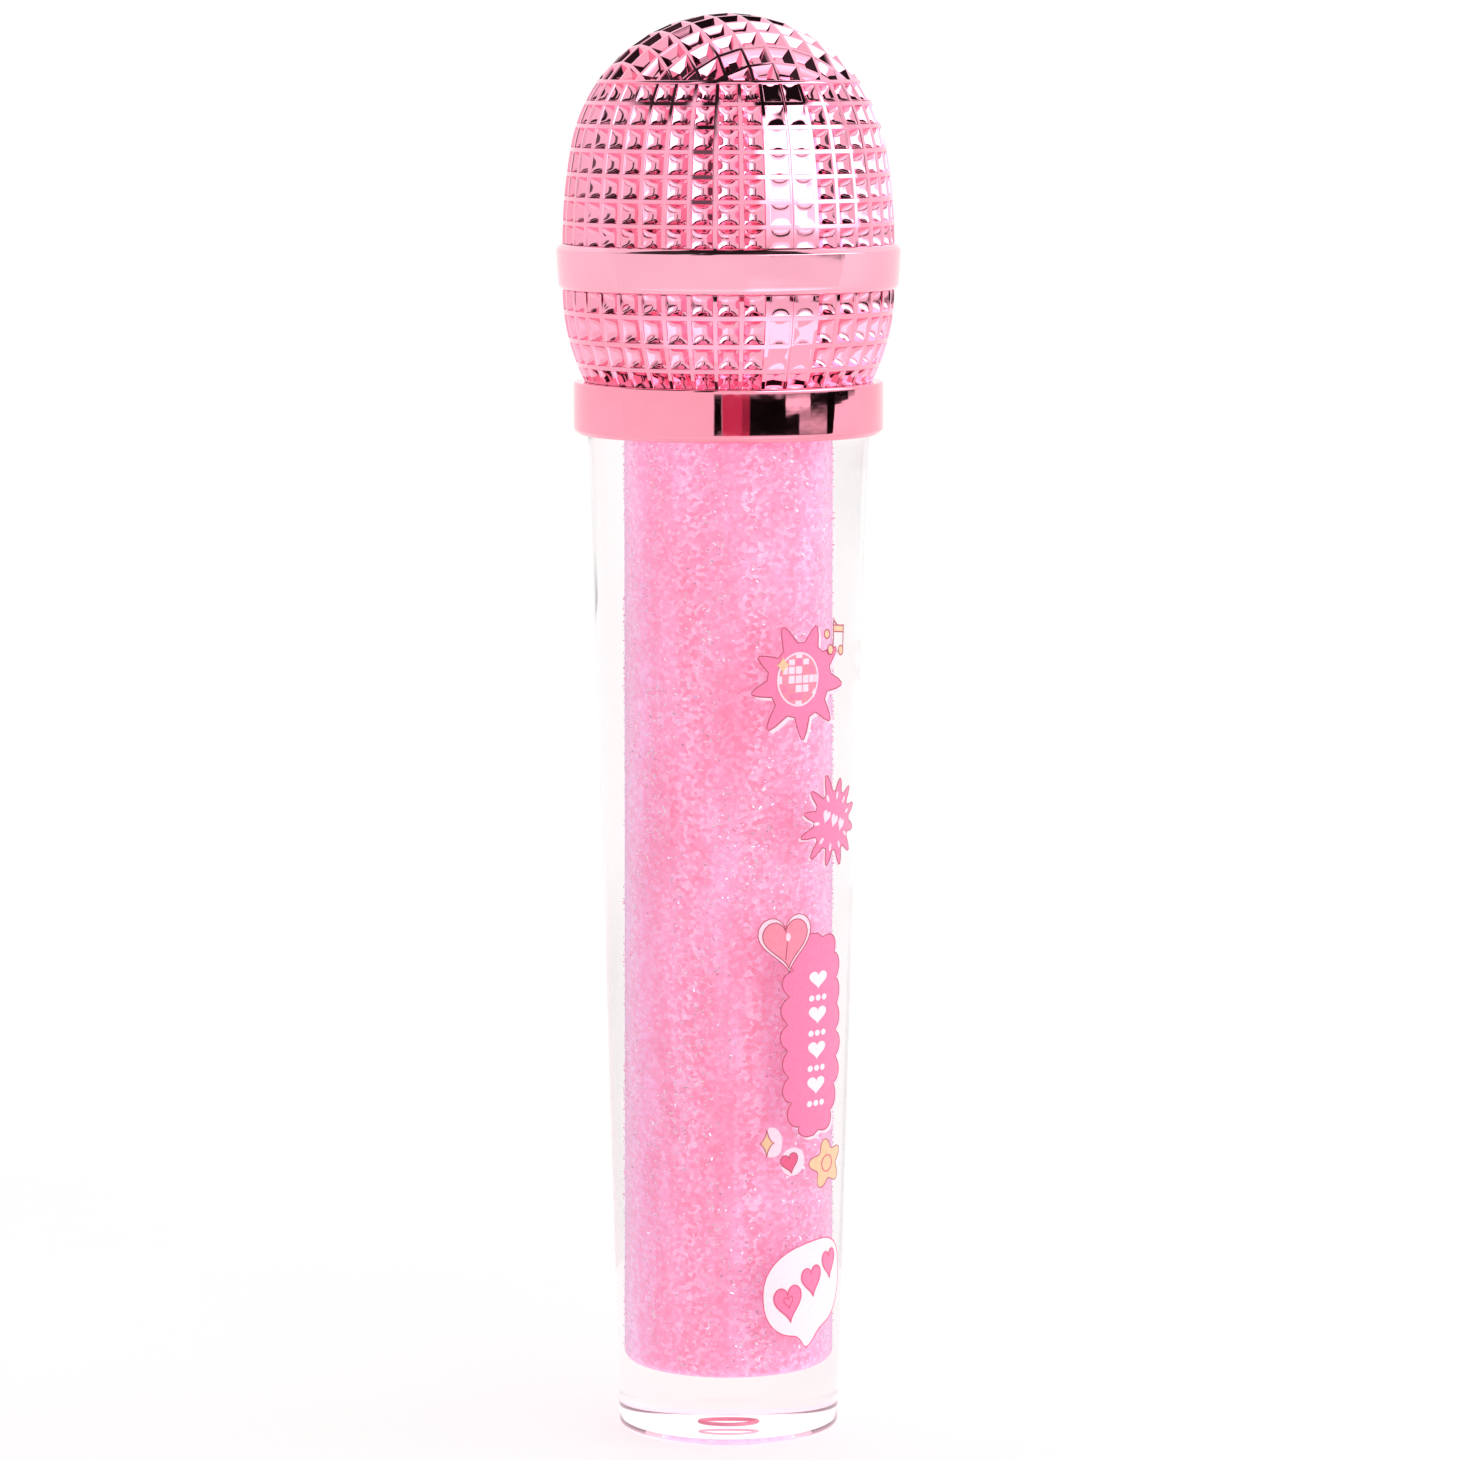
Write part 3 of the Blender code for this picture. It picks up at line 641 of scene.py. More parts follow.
def add_parting_line(verts, faces, radius_at, z_high, z_low):
    """Thin raised lines where the mould's halves met."""
    half = 0.05 * MM
    proud = 0.07 * MM
    for side in range(2):
        a = PARTING_TURN + side * pi
        along = Vector((-sin(a), cos(a), 0))
        first = len(verts)
        count = 60
        for k in range(count + 1):
            z = z_high + (z_low - z_high) * k / count
            out = Vector((cos(a), sin(a), 0))
            foot = out * (radius_at(z) - half)
            for point in (foot - along * half, out * (radius_at(z) + proud), foot + along * half):
                verts.append((point.x, point.y, z))
            if k:
                b = first + 3 * (k - 1)
                faces.append((b, b + 3, b + 4, b + 1))
                faces.append((b + 1, b + 4, b + 5, b + 2))


def crown_mesh():
    """The square grid on top of the ball: flat ribs round pyramid pockets."""
    bm = bmesh.new()
    rim_r = dome_r(CROWN_Z)
    ring = [bm.verts.new((rim_r * cos(a), rim_r * sin(a), 0)) for a in angles(160)]
    bm.faces.new(ring)
    for family in range(2):
        a = PARTING_TURN + family * pi / 2
        normal = Vector((cos(a), sin(a), 0.0))
        for k in range(-CROWN_LINES, CROWN_LINES + 1):
            bmesh.ops.bisect_plane(
                bm, geom=bm.verts[:] + bm.edges[:] + bm.faces[:], dist=1e-6,
                plane_co=normal * (DOME_R * sin(CROWN_STEP * k)), plane_no=normal)
    for v in bm.verts:
        v.co.z = DOME_CENTRE_Z + sqrt(DOME_R**2 - v.co.x**2 - v.co.y**2)
    bmesh.ops.remove_doubles(bm, verts=bm.verts, dist=0.16 * MM)
    bmesh.ops.recalc_face_normals(bm, faces=bm.faces)
    if sum(f.normal.z for f in bm.faces) < 0:
        bmesh.ops.reverse_faces(bm, faces=bm.faces)
    roomy = [f for f in bm.faces if f.calc_area() > CROWN_MIN_AREA]
    squares = [f for f in roomy if len(f.verts) == 4]
    odd = [f for f in roomy if len(f.verts) != 4]
    for cells, even, widen in ((squares, True, 1.0), (odd, False, 1.3)):
        bmesh.ops.inset_individual(bm, faces=cells, thickness=CROWN_RIB * widen,
                                   use_even_offset=even)
        bmesh.ops.inset_individual(bm, faces=cells, thickness=CROWN_EDGE * widen,
                                   depth=-0.05 * MM, use_even_offset=even)
        deep = [f for f in cells if f.calc_area() > CROWN_DEEP_AREA]
        bmesh.ops.inset_individual(bm, faces=deep, thickness=CROWN_SLOPE * widen,
                                   depth=-CROWN_DEPTH, use_even_offset=even)
    bm.verts.index_update()
    verts = [tuple(v.co) for v in bm.verts]
    faces = [tuple(v.index for v in f.verts) for f in bm.faces]
    bm.free()
    return verts, faces


def make_grille_dome():
    edges = even_heights(CROWN_Z, HIDDEN_RIB_Z, SIDE_ROWS)
    low = BAND_HIGH + 0.03 * MM
    verts, faces, count, rows = side_grid(dome_r, edges, low)
    inner_r, inner_dome_r = 11.8 * MM, 11.5 * MM
    spigot_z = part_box("grille_dome")[0].z
    inside = [(SPIGOT_R, low), (SPIGOT_R, spigot_z), (inner_r, spigot_z)]
    inside += [(inner_r, DOME_CENTRE_Z - 3 * MM)]
    inside += arc(0.0, DOME_CENTRE_Z, inner_dome_r, 10, 80, 7) + [(0.0, DOME_CENTRE_Z + inner_dome_r)]
    add_rings(verts, faces, count * (rows - 1), count, inside)
    add_parting_line(verts, faces, dome_r, CROWN_Z, low)
    crown_verts, crown_faces = crown_mesh()
    first = len(verts)
    verts += crown_verts
    faces += [tuple(i + first for i in f) for f in crown_faces]
    dome = new_object("grille_ball_top", verts, faces, [GRILLE], sharp=38)
    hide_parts("grille_dome")
    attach(dome, "cap")


def make_crown_rib():
    """A slim rib closes the seam between the square grid and the side rows."""
    section = around(dome_r(CROWN_Z), CROWN_Z, (
        (-0.16, 0.03), (-0.02, 0.13), (0.09, 0.04), (0.13, -0.1), (-0.05, -0.2)))
    seam = turned("grille_crown_rib", section, [GRILLE], sharp=60, closed=True)
    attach(seam, "cap")


def make_grille_base():
    top = BAND_LOW - 0.03 * MM
    low = COLLAR_HIGH + 0.03 * MM
    edges = [BAND_LOW + 0.45 * MM, *LOWER_RIBS_Z]
    verts, faces, count, rows = side_grid(belly_r, edges, low)
    skip = next(i for i in range(rows) if verts[i * count][2] < top + 0.05 * MM)
    verts = verts[skip * count:]
    faces = [tuple(i - skip * count for i in f) for f in faces if min(f) >= skip * count]
    rows -= skip
    foot_r, wall_r, step_z = 10.2 * MM, 11.7 * MM, 98.6 * MM
    inside = [(foot_r, low), (foot_r, 90.2 * MM), (wall_r, 92.2 * MM)]
    inside += [(wall_r, step_z), (SPIGOT_R, step_z), (SPIGOT_R, top)]
    add_rings(verts, faces, count * (rows - 1), count, inside)
    faces += [f[::-1] for f in ring_faces(len(verts) - count, 0, count, count)]
    add_parting_line(verts, faces, belly_r, top, low)
    base = new_object("grille_ball_base", verts, faces, [GRILLE], sharp=38)
    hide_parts("grille_base")
    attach(base, "cap")


def make_band():
    inner = 13.7 * MM
    edge = 0.6 * MM
    profile = [(inner, BAND_LOW), (BAND_R - 0.75 * MM, BAND_LOW)]
    profile += arc(BAND_R - 0.75 * MM, BAND_LOW + edge, edge, -85, -5, 10)
    face_low, face_high = BAND_LOW + 0.75 * MM, BAND_HIGH - BAND_BEVEL_HEIGHT
    for k in range(9):
        t = k / 8
        bow = 0.09 * MM * (1 - t) + 0.05 * MM * (1 - t) ** 2
        profile.append((BAND_R - bow, face_low + (face_high - face_low) * t))
    for radius, start, end in BAND_BEVEL:
        r, z = profile[-1]
        centre_r = r - radius * cos(radians(start))
        centre_z = z - radius * sin(radians(start))
        profile += arc(centre_r, centre_z, radius, start, end, 6)
    profile += [(inner, profile[-1][1])]
    band = turned("ball_band", profile, [BAND], segments=256, sharp=50, closed=True)
    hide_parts("centre_band")
    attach(band, "cap")


def make_collar():
    skirt_r, bore_r = 12.25 * MM, 9.7 * MM
    web_z = COLLAR_HIGH - 1.2 * MM
    chamfer = 0.4 * MM
    profile = [(bore_r, web_z), (skirt_r, web_z), (skirt_r, COLLAR_LOW)]
    outside = [(skirt_r, COLLAR_LOW), (COLLAR_R - chamfer, COLLAR_LOW)]
    wall_low, wall_high = COLLAR_LOW + chamfer, COLLAR_HIGH - 0.12 * MM
    for k in range(13):
        t = k / 12
        bow = 0.012 * MM * (2 * t - 1) ** 2
        outside.append((COLLAR_R - bow, wall_low + (wall_high - wall_low) * t))
    outside += [(COLLAR_R - 0.1 * MM, COLLAR_HIGH), (bore_r, COLLAR_HIGH)]
    profile += rounded(outside, 0.08 * MM)[1:]
    collar = turned("neck_collar", profile, [COLLAR], segments=256, sharp=40, closed=True)
    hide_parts("collar")
    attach(collar, "cap")


# ---- hidden pieces

def make_inner_cap():
    bore_r, outer_r, flange_r, hole_r = 7.95 * MM, 9.4 * MM, 11.4 * MM, 2.3 * MM
    roof_z = CAP_HIGH - 1.6 * MM
    profile = [(bore_r + 0.3 * MM, CAP_LOW), (outer_r - 0.2 * MM, CAP_LOW), (outer_r, CAP_LOW + 0.2 * MM)]
    profile += [(outer_r, CAP_HIGH - 1.1 * MM), (flange_r, CAP_HIGH - 1.1 * MM), (flange_r, CAP_HIGH)]
    profile += [(hole_r, CAP_HIGH), (hole_r, roof_z), (bore_r, roof_z)]
    z = roof_z - 4.5 * MM
    while z > CAP_LOW + 0.2 * MM:
        profile.append((bore_r, z))
        z -= 0.12 * MM
    start_z = THREAD_START_Z - THREAD_PITCH / 2

    def screw(r, z, angle):
        if abs(r - bore_r) < 1e-6:
            r -= thread_height(z, angle, start_z)
        return r, z

    cap = turned("inner_plug", profile, [PLUG], warp=screw, sharp=45, closed=True)
    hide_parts("inner_cap")
    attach(cap, "cap")


def make_plug_ribs():
    """Eight upright ribs round the plug, with chamfered outer corners."""
    outline = ((9.3, -0.5), (11.1, -0.5), (11.3, -0.3), (11.3, 0.3), (11.1, 0.5), (9.3, 0.5))
    verts, faces = [], []
    for k in range(8):
        turn = Matrix.Rotation(tau * (k + 0.5) / 8, 3, "Z")
        first = len(verts)
        for z in (92.6 * MM, CAP_HIGH - 0.9 * MM):
            for x, y in outline:
                verts.append(turn @ Vector((x * MM, y * MM, z)))
        faces += ring_faces(first, first + 6, 6, 6)
        faces += [tuple(range(first + 5, first - 1, -1)), tuple(range(first + 6, first + 12))]
    ribs = new_object("plug_ribs", verts, faces, [PLUG], sharp=30)
    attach(ribs, "cap")


def make_wiper():
    lip, mouth, body, flange = 2.4 * MM, 3.6 * MM, 4.6 * MM, 6.4 * MM
    flange_z = WIPER_HIGH - 0.6 * MM
    points = [(lip, WIPER_LOW), (body - 0.6 * MM, WIPER_LOW), (body, WIPER_LOW + 0.8 * MM)]
    points += [(body, flange_z), (flange, flange_z), (flange, WIPER_HIGH), (mouth, WIPER_HIGH)]
    points += [(mouth, WIPER_LOW + 3.2 * MM), (lip, WIPER_LOW + 0.9 * MM), (lip, WIPER_LOW)]
    wiper = turned("neck_wiper", rounded(points, 0.2 * MM)[:-1], [WIPER], 128, sharp=50, closed=True)
    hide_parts("wiper")
    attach(wiper, "bottle_body")


def make_liner():
    hole, rim = 2.3 * MM, 6.6 * MM
    points = [(hole, LINER_LOW + 0.2 * MM), (hole, LINER_LOW), (rim, LINER_LOW), (rim, LINER_HIGH)]
    points += [(hole, LINER_HIGH), (hole, LINER_LOW + 0.2 * MM)]
    liner = turned("seal_washer", rounded(points, 0.12 * MM)[:-1], [WASHER], 128, sharp=50, closed=True)
    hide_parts("liner")
    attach(liner, "washer")


def make_wand_rod():
    shoulder_z, head_z = 24.0 * MM, STEM_HIGH - 1.4 * MM
    pin_r, rod_r, head_r = 1.1 * MM, 1.9 * MM, 3.4 * MM
    points = [(0.0, STEM_LOW), (pin_r, STEM_LOW), (pin_r, shoulder_z), (rod_r, shoulder_z)]
    points += [(rod_r, head_z), (head_r, head_z), (head_r, STEM_HIGH), (0.0, STEM_HIGH)]
    stem = turned("wand_rod", rounded(points, 0.25 * MM), [STEM], 96, sharp=50)
    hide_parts("wand_stem")
    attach(stem, "wand")


def make_tip():
    """A flocked tip with a slanted face cut on one side."""
    socket_r, socket_z, tip_r = 1.4 * MM, STEM_LOW - 0.3 * MM, 2.07 * MM
    points = [(0.0, socket_z), (socket_r, socket_z), (socket_r, TIP_HIGH)]
    points += [(2.0 * MM, TIP_HIGH - 0.05 * MM)]
    z = TIP_HIGH - 0.4 * MM
    while z > TIP_LOW + 2.2 * MM:
        points.append((tip_r, z))
        z -= 0.16 * MM
    points += arc(0.0, TIP_LOW + tip_r, 2.05 * MM, 0, -88, 14) + [(0.0, TIP_LOW + 0.02 * MM)]
    cut_point = Vector((-0.7 * MM, 0, 10.4 * MM))
    cut_normal = Vector((7.2, 0, -3.1)).normalized()

    def doe_foot(r, z, angle):
        if r < 1.5 * MM and z > TIP_LOW + 6 * MM:
            return r, z
        point = Vector((r * cos(angle), r * sin(angle), z))
        beyond = (point - cut_point).dot(cut_normal)
        if beyond > 0 and z < TIP_HIGH - 4 * MM:
            r = max(0.05 * MM, r - beyond / max(0.25, cut_normal.x * cos(angle)))
        fuzz = noise.noise(Vector((cos(angle) * 9, sin(angle) * 9, z * 4500)))
        return r * (1 + 0.012 * fuzz), z

    tip = turned("doe_foot_tip", points, [FLOCK], 160, warp=doe_foot, sharp=60)
    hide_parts("applicator_tip")
    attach(tip, "wand")


# ---- prints on the bottle

PRINT_STEP = 0.3 * MM
INK_THICKNESS = 0.01 * MM
LAYER_STEP = 0.014 * MM


def wrap(bm, at, layer):
    """Bend flat artwork, drawn in millimetres, round the bottle's side."""
    for v in bm.verts:
        v.co = v.co * MM
    low = min(v.co.x for v in bm.verts)
    high = max(v.co.x for v in bm.verts)
    x = ceil(low / PRINT_STEP) * PRINT_STEP
    while x < high:
        bmesh.ops.bisect_plane(bm, geom=bm.verts[:] + bm.edges[:] + bm.faces[:], dist=1e-8,
                               plane_co=(x, 0, 0), plane_no=(1, 0, 0))
        x += PRINT_STEP
    turn, z0 = radians(at[0] - 90), at[1] * MM
    centre_r = bottle_outer_r(z0)
    for v in bm.verts:
        z = z0 + v.co.y
        a = turn + v.co.x / centre_r
        r = bottle_outer_r(z) + layer * LAYER_STEP
        v.co = (r * cos(a), r * sin(a), z)


def printed(name, shapes, at, mat, layer):
    """Ink shapes as thin film; each shape is a closed outline of (across, up) points in mm.

    Their origin lies at (degrees round the bottle, height in mm).
    """
    bm = bmesh.new()
    for shape in shapes:
        bm.faces.new([bm.verts.new((x, y, 0)) for x, y in shape])
    bm.normal_update()
    bmesh.ops.triangulate(bm, faces=bm.faces)
    wrap(bm, at, layer)
    bmesh.ops.recalc_face_normals(bm, faces=bm.faces)
    for f in bm.faces:
        outward = Vector((f.calc_center_median().x, f.calc_center_median().y, 0))
        if f.normal.dot(outward) < 0:
            f.normal_flip()
    bmesh.ops.solidify(bm, geom=bm.faces[:], thickness=INK_THICKNESS)
    mesh = bpy.data.meshes.new(name)
    bm.to_mesh(mesh)
    bm.free()
    mesh.materials.append(mat)
    obj = add_object(name, mesh)
    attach(obj, "bottle_body")


def soften(points, rounds=2):
    """Round a closed outline's corners by cutting them, twice by default."""
    for _ in range(rounds):
        out = []
        for p, q in zip(points, points[1:] + points[:1]):
            out.append((p[0] * 0.75 + q[0] * 0.25, p[1] * 0.75 + q[1] * 0.25))
            out.append((p[0] * 0.25 + q[0] * 0.75, p[1] * 0.25 + q[1] * 0.75))
        points = out
    return points


def ellipse(rx, ry, cx=0.0, cy=0.0, count=32, tilt=0.0):
    c, s = cos(radians(tilt)), sin(radians(tilt))
    out = []
    for a in angles(count):
        x, y = rx * cos(a), ry * sin(a)
        out.append((cx + c * x - s * y, cy + s * x + c * y))
    return out


def starburst(tips, tip_r, valley_r, phase, seed):
    rng = random.Random(seed)
    points = []
    for k in range(tips):
        a = radians(phase) + tau * k / tips
        long = tip_r * rng.uniform(0.94, 1.08)
        low = valley_r * rng.uniform(0.93, 1.07)
        for da, r in ((-0.05, long * 0.98), (0.05, long), (pi / tips, low)):
            points.append((r * cos(a + da), r * sin(a + da)))
    return soften(points, 1)


def heart(width, height, cx=0.0, cy=0.0):
    out = []
    for t in angles(40):
        x = 16 * sin(t) ** 3
        y = 13 * cos(t) - 5 * cos(2 * t) - 2 * cos(3 * t) - cos(4 * t)
        out.append((cx + x / 32 * width, cy + (y + 2.5) / 29 * height))
    return out


def squarish(half_x, half_y, power_x, power_y, count):
    """A closed curve: boxy for powers under 1, pinched into a star for powers over 1."""
    out = []
    for a in angles(count):
        c, s = cos(a), sin(a)
        out.append((half_x * copysign(abs(c) ** power_x, c), half_y * copysign(abs(s) ** power_y, s)))
    return out


def sparkle(width, height):
    return squarish(0.5 * width, 0.5 * height, 3.0, 3.0, 32)


def sideways(dx, dy, width):
    """Half a line's width, at right angles to its direction."""
    length = hypot(dx, dy) or 1.0
    return dy / length * width / 2, -dx / length * width / 2


def band_round(points, width):
    """A line of even width along a closed outline, as a row of quads."""
    rims = []
    for before, (x, y), after in zip(points[-1:] + points, points, points[1:] + points[:1]):
        nx, ny = sideways(after[0] - before[0], after[1] - before[1], width)
        rims.append(((x + nx, y + ny), (x - nx, y - ny)))
    return [[a, c, d, b] for (a, b), (c, d) in zip(rims, rims[1:] + rims[:1])]


def bar(x0, y0, x1, y1, width):
    nx, ny = sideways(x1 - x0, y1 - y0, width)
    return [(x0 + nx, y0 + ny), (x1 + nx, y1 + ny), (x1 - nx, y1 - ny), (x0 - nx, y0 - ny)]


def shifted(points, dx, dy):
    return [(x + dx, y + dy) for x, y in points]


def cloud(half_width, half_length, bumps, swell, seed):
    """A long label with uneven scallops all round."""
    rng = random.Random(seed)
    points = squarish(half_width, half_length, 0.5, 0.85, bumps * 12)
    lengths = [0.0]
    for p, q in zip(points, points[1:] + points[:1]):
        lengths.append(lengths[-1] + hypot(q[0] - p[0], q[1] - p[1]))
    sizes = [swell * rng.uniform(0.75, 1.25) for _ in range(bumps + 1)]
    out = []
    for k, (x, y) in enumerate(points):
        along = bumps * lengths[k] / lengths[-1]
        rise = sizes[int(along)] * abs(sin(pi * along)) ** 0.6
        nx, ny = x / half_width**2, y / half_length**2
        length = hypot(nx, ny)
        out.append((x + nx / length * rise, y + ny / length * rise))
    return out


def tilted(points, angle):
    c, s = cos(radians(angle)), sin(radians(angle))
    return [(c * x - s * y, s * x + c * y) for x, y in points]


def outlined(name, outline, at, fill, layer, line_width=0.1, shadow=None, rim=LINE_INK):
    """A filled shape with a drawn outline, over a pale shadow if one is given."""
    if shadow:
        printed(name + "_shadow", [shifted(outline, *shadow)], at, PALE_INK, layer)
    printed(name, [outline], at, fill, layer + 1)
    printed(name + "_line", band_round(outline, line_width), at, rim, layer + 2)


def ball_tiles(half_x, half_y, centre):
    """Square tiles that narrow towards a ball's rim, as lists of dark and of pale ones."""
    rng = random.Random(5)
    step = 0.36
    dark, pale = [], []
    for row in range(-4, 5):
        for column in range(-4, 5):
            cx, cy = half_x * sin(column * step), half_y * sin(row * step)
            if (cx / 1.9) ** 2 + (cy / 2.15) ** 2 > 0.86:
                continue
            w, h = 0.30 * cos(column * step), 0.32 * cos(row * step)
            tile = shifted([(cx - w, cy - h), (cx + w, cy - h), (cx + w, cy + h), (cx - w, cy + h)],
                           *centre)
            kind = rng.random()
            if kind < 0.68:
                pale.append(tile)
            elif kind < 0.84:
                dark.append(tile)
    return dark, pale


def print_burst_with_ball():
    at = (33.0, 65.0)
    burst = starburst(9, 4.75, 2.65, 32, 3)
    outlined("print_burst", burst, at, PINK_INK, 1, shadow=(0.32, -0.3))
    half_x, half_y, centre = 1.95, 2.2, (-0.3, 0.1)
    ball = ellipse(half_x, half_y, *centre)
    printed("print_ball", [ball], at, ROSE_INK, 3)
    dark, pale = ball_tiles(half_x, half_y, centre)
    printed("print_ball_tiles", dark, at, PINK_INK, 4)
    printed("print_ball_bright", pale, at, PALE_INK, 4)
    printed("print_ball_rim", band_round(ball, 0.16), at, PALE_INK, 5)
    star = shifted(sparkle(1.3, 1.5), -1.8, 1.35)
    printed("print_ball_star", [star], at, YELLOW_INK, 6)
    small = shifted(sparkle(0.6, 1.0), 1.25, -1.1)
    printed("print_ball_glint", [small], at, PALE_INK, 6)


def print_notes():
    at = (52.5, 68.5)
    lines = [bar(*ends, width) for *ends, width in (
        (-0.4, -1.0, -0.4, 1.35, 0.13), (1.0, -1.1, 1.0, 0.85, 0.13), (-0.4, 1.3, 0.15, 0.8, 0.15),
        (-0.4, 0.9, 1.06, 0.75, 0.11), (-0.4, 0.35, 1.06, 0.2, 0.11))]
    heads = [ellipse(rx, ry, x, y, 20, 20) for rx, ry, x, y in (
        (0.34, 0.42, -0.72, -1.15), (0.34, 0.42, 0.7, -1.3), (0.32, 0.38, -1.2, 0.2))]
    beam = [(-0.4, 0.4), (1.0, 0.25), (1.0, 0.75), (-0.4, 0.88)]
    printed("print_note_fill", heads + [beam], at, YELLOW_INK, 6)
    for head in heads:
        lines += band_round(head, 0.11)
    printed("print_note_lines", lines, at, LINE_INK, 7)


def print_small_burst():
    at = (54.5, 52.8)
    burst = starburst(12, 3.9, 2.15, 16, 9)
    outlined("print_small_burst", burst, at, PINK_INK, 1, shadow=(-0.2, -0.15))
    ring_r = 2.2
    marks = [ellipse(0.15, 0.34, ring_r * cos(a), ring_r * sin(a), 16, degrees(a) - 90)
             for a in (0.3, 0.85, 1.4, 2.0, 3.15, 3.9, 4.5, 5.1, 5.7)]
    marks += [tilted(shifted(heart(0.95, 1.15), x, 0.0), -22) for x in (-1.15, 0.0, 1.15)]
    printed("print_small_burst_marks", marks, at, PALE_INK, 4)


def print_label():
    """A long scalloped label with hearts and rows of dots in turn."""
    at = (45.0, 34.9)
    label = cloud(2.75, 8.1, 17, 0.8, 4)
    outlined("print_label", label, at, PINK_INK, 1, shadow=(0.35, -0.3))
    marks = []
    for k in range(8):
        y = 4.6 - k * 1.5
        if k % 2 == 0:
            marks.append(shifted(heart(2.1, 1.5), 0.2, y))
        else:
            marks += [ellipse(0.3, 0.26, x, y, 16) for x in (-0.55, 0.2, 0.95)]
    printed("print_label_marks", marks, at, WHITE_INK, 4)


def print_heart():
    at = (27.5, 42.8)
    outer, inner = tilted(heart(5.0, 4.9), 6), tilted(heart(4.2, 4.1), 6)
    printed("print_heart_rim", [outer], at, PALE_INK, 4)
    printed("print_heart", [inner], at, ROSE_INK, 5)
    lines = band_round(outer, 0.08) + band_round(inner, 0.08)
    lines += [bar(0.1, 1.0, -0.1, -1.3, 0.08)]
    printed("print_heart_line", lines, at, LINE_INK, 6)
    printed("print_heart_glint", [ellipse(0.22, 0.36, 0.1, 0.65, 16)], at, PALE_INK, 7)


def print_small_signs():
    at = (18.6, 26.0)
    back = soften([(-0.5, -1.1), (1.2, -1.3), (1.5, 0.3), (0.9, 1.3), (-0.1, 1.4)])
    printed("print_sparkle_back", [back], at, PALE_INK, 1)
    outlined("print_sparkle", sparkle(1.3, 2.4), at, YELLOW_INK, 1, 0.08)
    at = (31.0, 24.1)
    printed("print_small_heart_back", [ellipse(1.2, 1.2, 0.3, 0.15)], at, PALE_INK, 1)
    outlined("print_small_heart", tilted(heart(1.7, 1.7), 12), at, DEEP_INK, 1, 0.09)


def print_flower():
    at = (56.0, 23.6)
    petals, turn = 5, 0.5
    flower = []
    for t in angles(60):
        r = 1.75 + 0.42 * cos(petals * t)
        flower.append((r * cos(t + turn) * 1.1, r * sin(t + turn)))
    outlined("print_flower", flower, at, YELLOW_INK, 1, 0.09)
    printed("print_flower_eye", band_round(ellipse(0.75, 0.7), 0.1), at, DEEP_INK, 4)


def print_bubble():
    """A speech bubble with a short tail and three hearts."""
    at = (45.0, 13.2)
    tail = {43: 0.3, 44: 1.25, 45: 0.9, 46: 0.2}
    bubble = [(x, y + 0.09 * x - tail.get(k, 0.0))
              for k, (x, y) in enumerate(squarish(4.7, 3.9, 0.8, 0.85, 60))]
    bubble = tilted(soften(bubble, 1), 4)
    outlined("print_bubble", bubble, at, WHITE_INK, 0, 0.1, rim=DEEP_INK)
    hearts = [heart(2.7, 3.1, -2.4, -0.9), heart(2.3, 2.6, 0.3, 0.4), heart(2.0, 2.5, 2.8, 1.2)]
    hearts = [tilted(shape, 8) for shape in hearts]
    printed("print_bubble_hearts", hearts, at, PINK_INK, 3)
    lines = []
    for shape in hearts:
        lines += band_round(shape, 0.12)
    lines += band_round(tilted(heart(0.9, 1.0, -2.4, -0.7), 8), 0.1)
    printed("print_bubble_heart_lines", lines, at, DEEP_INK, 4)


# ---- studio

def make_stage():
    """A pale floor that curves up into a wall behind the object."""
    path = [(-0.12, 0.0), (0.0, 0.0), (0.2, 0.0), (0.5, 0.0)]
    path += arc(0.5, 0.5, 0.5, -81, 0, 9) + [(1.0, 1.2), (1.0, 1.8)]
    verts = []
    for x in (-1.6, 1.6):
        verts += [(x, y, z) for y, z in path]
    count = len(path)
    faces = [(k, k + count, k + count + 1, k + 1) for k in range(count - 1)]
    mat, tree, shader = base_material("pale_floor", Roughness=0.6, Emission_Strength=0.62)
    two_tone(tree, shader, 14.0, 2.0, (0.42, 0.415, 0.415), (0.44, 0.435, 0.435))
    shader.inputs["Emission Color"].default_value = (1.0, 0.99, 0.99, 1.0)
    shader.inputs["Specular IOR Level"].default_value = 0.1
    new_object("studio_floor", verts, faces, [mat])


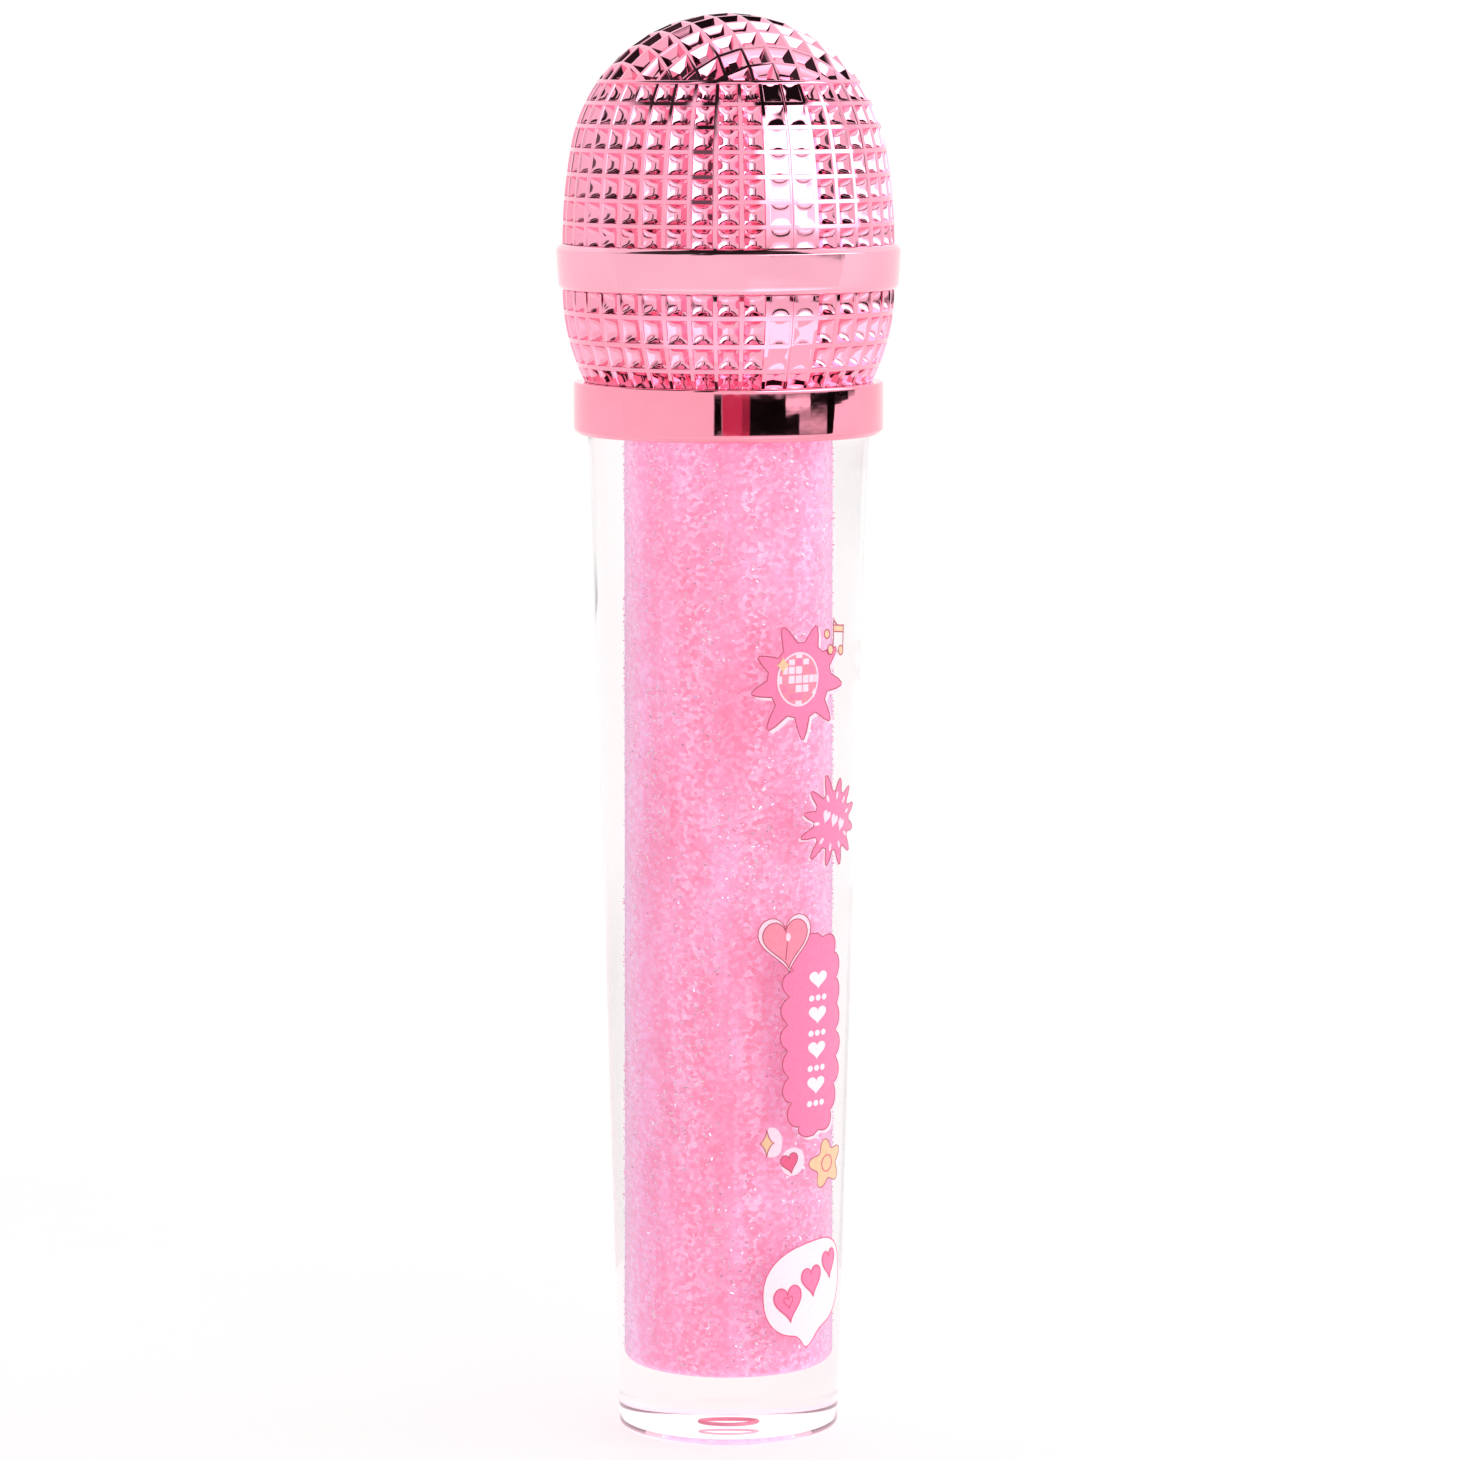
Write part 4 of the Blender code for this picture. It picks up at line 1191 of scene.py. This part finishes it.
# Studio light by direction: azimuth from the viewer's side towards +X and elevation, in
# degrees, then softness and brightness. Later entries lie over earlier ones and the room.
ROOM_LIGHT = 1.0
LIGHTS = (
    # The pale floor below
    (-180, 180, -90, -15, 6, 1.25),
    # Dark, high on the left and in front
    (-105, -40, 37, 90, 6, 0.04),
    (-40, 28, 57, 90, 6, 0.04),
    (-26, -11, 3.5, 90, 2, 0.15),
    (-27, -10, 27, 90, 5, 0.02),
    # Soft boxes on the right, dark above
    (22, 104, 1, 12, 3, 1.6),
    (50, 104, 1.4, 12, 2, 2.6),
    (21, 100, 9, 28, 5, 3),
    (29, 100, 24, 46, 4, 3),
    (27, 92, 40.5, 70, 3, 0.01),
    (12, 100, 64, 82, 4, 0.05),
    (-180, 180, 75, 90, 4, 0.02),
    # Fill, low on the right and behind
    (14, 85, -60, -13, 8, 1.8),
    (120, 165, 0, 60, 10, 1.3),
    # Just under the horizon, for the upright collar to reflect
    (-10.6, -4, -5.6, -2, 1.2, 0.003),
    (-5, 9.5, -5.4, -2.1, 0.8, 0.55),
    (9.5, 16, -5.4, -2.1, 1.6, 0.3),
    (15.5, 81, -5.7, -2.1, 0.9, 0.003),
    (43, 63, -3.4, -2.7, 0.9, 1.6),
    (54, 78, -5, -3.8, 1.2, 0.8),
    (79, 100, -5.4, -1.7, 1, 0.003),
    (96, 108, -2.8, -1.7, 1, 0.003),
    # For the clear wall's edges
    (-121, -114, -12, -3, 1, 0.12),
    (113, 119, -12, -3.4, 1, 0.25),
)
RED_GLOW = (-4.5, 16, -5.6, -2, 1)
LIGHT_COLOUR = (1.0, 0.985, 0.985)
RED_COLOUR = (1.0, 0.12, 0.25)


def make_world():
    world = bpy.data.worlds.new("studio")
    bpy.context.scene.world = world
    world.use_nodes = True
    tree = world.node_tree
    tree.nodes.clear()
    output = tree.nodes.new("ShaderNodeOutputWorld")
    background = tree.nodes.new("ShaderNodeBackground")
    tree.links.new(background.outputs[0], output.inputs["Surface"])
    where = tree.nodes.new("ShaderNodeTexCoord").outputs["Generated"]
    split = node(tree, "ShaderNodeSeparateXYZ", Vector=where)
    forward = math_node(tree, "MULTIPLY", split.outputs["Y"], -1.0)
    turn = math_node(tree, "ARCTAN2", split.outputs["X"], forward)
    azimuth = math_node(tree, "MULTIPLY", turn, 180 / pi)
    tilt = math_node(tree, "ARCSINE", split.outputs["Z"])
    elevation = math_node(tree, "MULTIPLY", tilt, 180 / pi)

    def between(value, low, high, soft):
        rise = map_range(tree, value, low - soft / 2, low + soft / 2, 0.0, 1.0)
        fall = map_range(tree, value, high - soft / 2, high + soft / 2, 1.0, 0.0)
        return math_node(tree, "MULTIPLY", rise, fall)

    def patch(az0, az1, el0, el1, soft):
        across, up = between(azimuth, az0, az1, soft), between(elevation, el0, el1, soft)
        return math_node(tree, "MULTIPLY", across, up)

    level = ROOM_LIGHT
    for *place, bright in LIGHTS:
        change = math_node(tree, "SUBTRACT", bright, level)
        level = math_node(tree, "ADD", level, math_node(tree, "MULTIPLY", change, patch(*place)))
    tree.links.new(level, background.inputs["Strength"])
    colour = ramp(tree, patch(*RED_GLOW), [(0.0, LIGHT_COLOUR), (1.0, RED_COLOUR)])
    tree.links.new(colour, background.inputs["Color"])


def make_camera():
    data = bpy.data.cameras.new("camera")
    data.sensor_width = 36.0
    data.lens = 146.7
    data.clip_start = 0.01
    camera = add_object("camera", data)
    camera.location = (0.13 * MM, -500 * MM, 119 * MM)
    looks_down = 6.76
    camera.rotation_euler = (radians(90 - looks_down), 0.0, 0.0)
    bpy.context.scene.camera = camera


make_camera()
make_world()
make_stage()
make_bottle()
make_base_mark()
make_gloss()
make_glitter()
print_burst_with_ball()
print_notes()
print_small_burst()
print_label()
print_heart()
print_small_signs()
print_flower()
print_bubble()
make_grille_dome()
make_crown_rib()
make_grille_base()
make_band()
make_collar()
make_inner_cap()
make_plug_ribs()
make_wiper()
make_liner()
make_wand_rod()
make_tip()

bpy.context.scene.view_settings.view_transform = "Standard"

bpy.context.view_layer.update()
